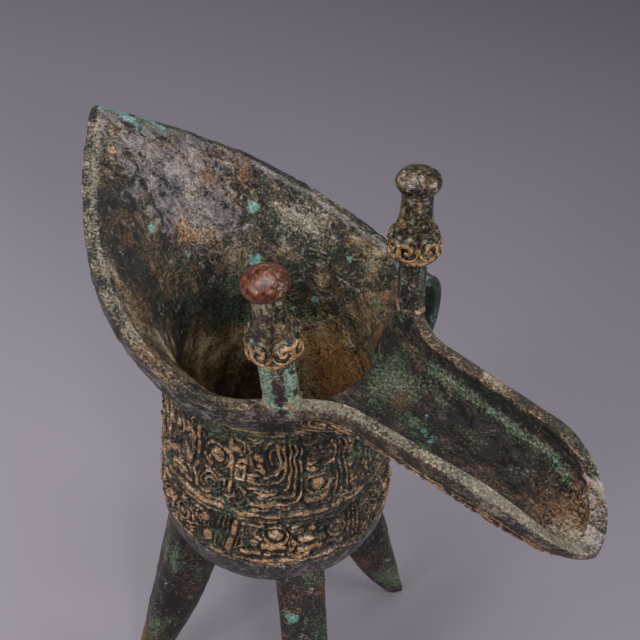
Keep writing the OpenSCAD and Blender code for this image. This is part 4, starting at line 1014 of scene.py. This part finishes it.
def bowl_z(r):
    """Height just inside the skin of the rounded bottom at r mm from the axis."""
    return STAND + 0.6 - BOTTOM_DEPTH * np.sqrt(np.clip(1 - (r / BELLY_R) ** 2, 0, 1))


def leg_grids(foot, seed):
    """The blade from the bowl down, and its two ends. Each line down the leg starts where it
    meets the bowl, found by repeated substitution."""
    top, each = np.zeros(LEG_ROUND), np.arange(LEG_ROUND)
    for _ in range(40):
        ring = leg_ring(top, foot)[each, each]
        top = 1 - np.minimum(bowl_z(np.hypot(*ring.T)), LEG_H) / LEG_H
    t = mix(top, 1, np.linspace(0, 1, LEG_ROWS)[:, None])
    ring = leg_ring(t.ravel(), foot).reshape(LEG_ROWS, LEG_ROUND, LEG_ROUND, 2)[:, each, each]
    side = np.concatenate([ring, LEG_H * (1 - t)[..., None]], -1)
    p = side + seed
    fade = ease(side[..., 2] / 3) * ease(np.arange(LEG_ROWS)[:, None] / 4)
    soft = shove(side, (0.22 * swell(p * [1, 1, 0.6], 5, 81) + 0.1 * swell(p, 1.7, 82)) * fade)
    inward = np.linspace(0, 1, 12)[:, None, None]
    cap = mix(side[:1], side[:1].mean(1, keepdims=True), inward)
    cap[..., 2] = np.where(inward[..., 0] > 0, bowl_z(np.hypot(cap[..., 0], cap[..., 1])), cap[..., 2])
    sole = mix(side[-1:], side[-1:].mean(1, keepdims=True), inward[::4])
    return soft, cap, sole


for name, deg, foot, patches in (
        ("leg_handle_side", 74, 51.5, [(15, 40, 16, 7, 2.0), (16, 44, 8, 6, 1.6), (12, 30, 50, 6, 1.0)]),
        ("leg_tail_side", 235, 49.0, [(-19.8, -36.6, 28, 7, 1.6), (-15, -32, 62, 7, 1.8),
                                      (-10, -23, 52, 6, 1.2)]),
        ("leg_spout_side", 328, 51.5, [(28, -22.8, 61, 5, 1.4), (32, -14, 75, 6, 1.4), (34, -13, 50, 8, 1.2)])):
    blade, cap, sole = (g @ spin(2, math.radians(deg)).T for g in leg_grids(foot, deg))
    edge = ease((0.34 - np.abs((np.arange(LEG_ROUND) / 8 + 0.5) % 1 - 0.5)) / 0.2)
    bronze_piece(name, [blade, cap, sole],
                 {"bloom": 0.3 * edge - 0.2 + patch(blade, patches), "warm": 1.6 * swell(blade, 9, 83),
                  "crust": patch(blade, [(28, -22.8, 61.3, 3, 1.2), (15, 42, 12, 6, 0.35)])},
                 leg_skin)

# The floor: a plain sheet of studio paper, its colour painted darker evenly away from the front
# as a painted falloff of the light
sheet = bpy.data.meshes.new("floor")
sheet.from_pydata([(-3, -3, 0), (3, -3, 0), (3, 3, 0), (-3, 3, 0)], [], [(0, 1, 2, 3)])
floor = bpy.data.objects.new("floor", sheet)
bpy.context.scene.collection.objects.link(floor)
paper = bpy.data.materials.new("Matt grey-mauve paper")
paper.use_nodes = True
paper_nodes = paper.node_tree
paper_nodes.nodes.clear()
depth = add(paper_nodes, "VectorMath", {0: add(paper_nodes, "TexCoord", {}).outputs["Object"], 1: (-0.12, 0.99, 0)},
            operation="DOT_PRODUCT").outputs["Value"]
share = add(paper_nodes, "MapRange", {"Value": depth, "From Min": -0.1, "From Max": 0.62})
# Painted falloff of light: the paper's colour darkens towards the back
painted_falloff = add(paper_nodes, "ValToRGB", {0: share}, stops=[(0.0, "#918a92"), (0.35, "#76717a"), (1.0, "#47444b")])
surface = add(paper_nodes, "BsdfPrincipled", {"Base Color": painted_falloff, "Roughness": 0.9, "Specular IOR Level": 0.2})
add(paper_nodes, "OutputMaterial", {"Surface": surface})
sheet.materials.append(paper)

# The camera: a long lens from the front right and above, as the photograph was taken
turn_a, tilt, roll = math.radians(41.653), math.radians(41.047), math.radians(1.254)
back = np.array([math.sin(turn_a) * math.cos(tilt), -math.cos(turn_a) * math.cos(tilt), math.sin(tilt)])
right = np.array([math.cos(turn_a), math.sin(turn_a), 0])
top = np.cross(back, right)
right, top = right * math.cos(roll) + top * math.sin(roll), top * math.cos(roll) - right * math.sin(roll)
eye = np.array([0.20104, -0.23661, 0.425354])
lens = bpy.data.cameras.new("camera")
lens.lens, lens.sensor_width = 84.375, 36
camera = bpy.data.objects.new("camera", lens)
bpy.context.scene.collection.objects.link(camera)
axes = np.stack([right, top, back, eye], -1)
camera.matrix_world = Matrix(axes.tolist() + [[0, 0, 0, 1]])
bpy.context.scene.camera = camera

# The lamps: a large soft one over the left shoulder, which lays the shadows to the right, one
# straight above for the lips, a low one at the right that gives the tail its sheen, and two
# small ones in front for the knobs
aim = Vector((0, 0, 0.12))


def lamp(name, place, size, watts):
    """A white square soft lamp at a place in metres, turned to the vessel."""
    data = bpy.data.lights.new(name, "AREA")
    data.size, data.energy = size, watts
    lit = bpy.data.objects.new(name, data)
    lit.location = place
    lit.rotation_euler = (aim - Vector(place)).to_track_quat("-Z", "Y").to_euler()
    bpy.context.scene.collection.objects.link(lit)


lamp("overhead", (-0.20, -0.50, 0.80), 0.9, 5.5)
lamp("top", (-0.06, 0.02, 0.90), 0.45, 3.2)
lamp("right_low", (0.80, 0.40, 0.45), 0.45, 4.4)
lamp("front_left", (-0.05, -0.9, 0.70), 0.15, 2.2)
lamp("front_right", (0.75, -0.5, 0.75), 0.12, 2.2)
world = bpy.data.worlds.new("room")
world.use_nodes = True
world.node_tree.nodes["Background"].inputs["Color"].default_value = linear("#c8c6cc")
world.node_tree.nodes["Background"].inputs["Strength"].default_value = 0.46
bpy.context.scene.world = world
bpy.context.scene.view_settings.view_transform = "Standard"
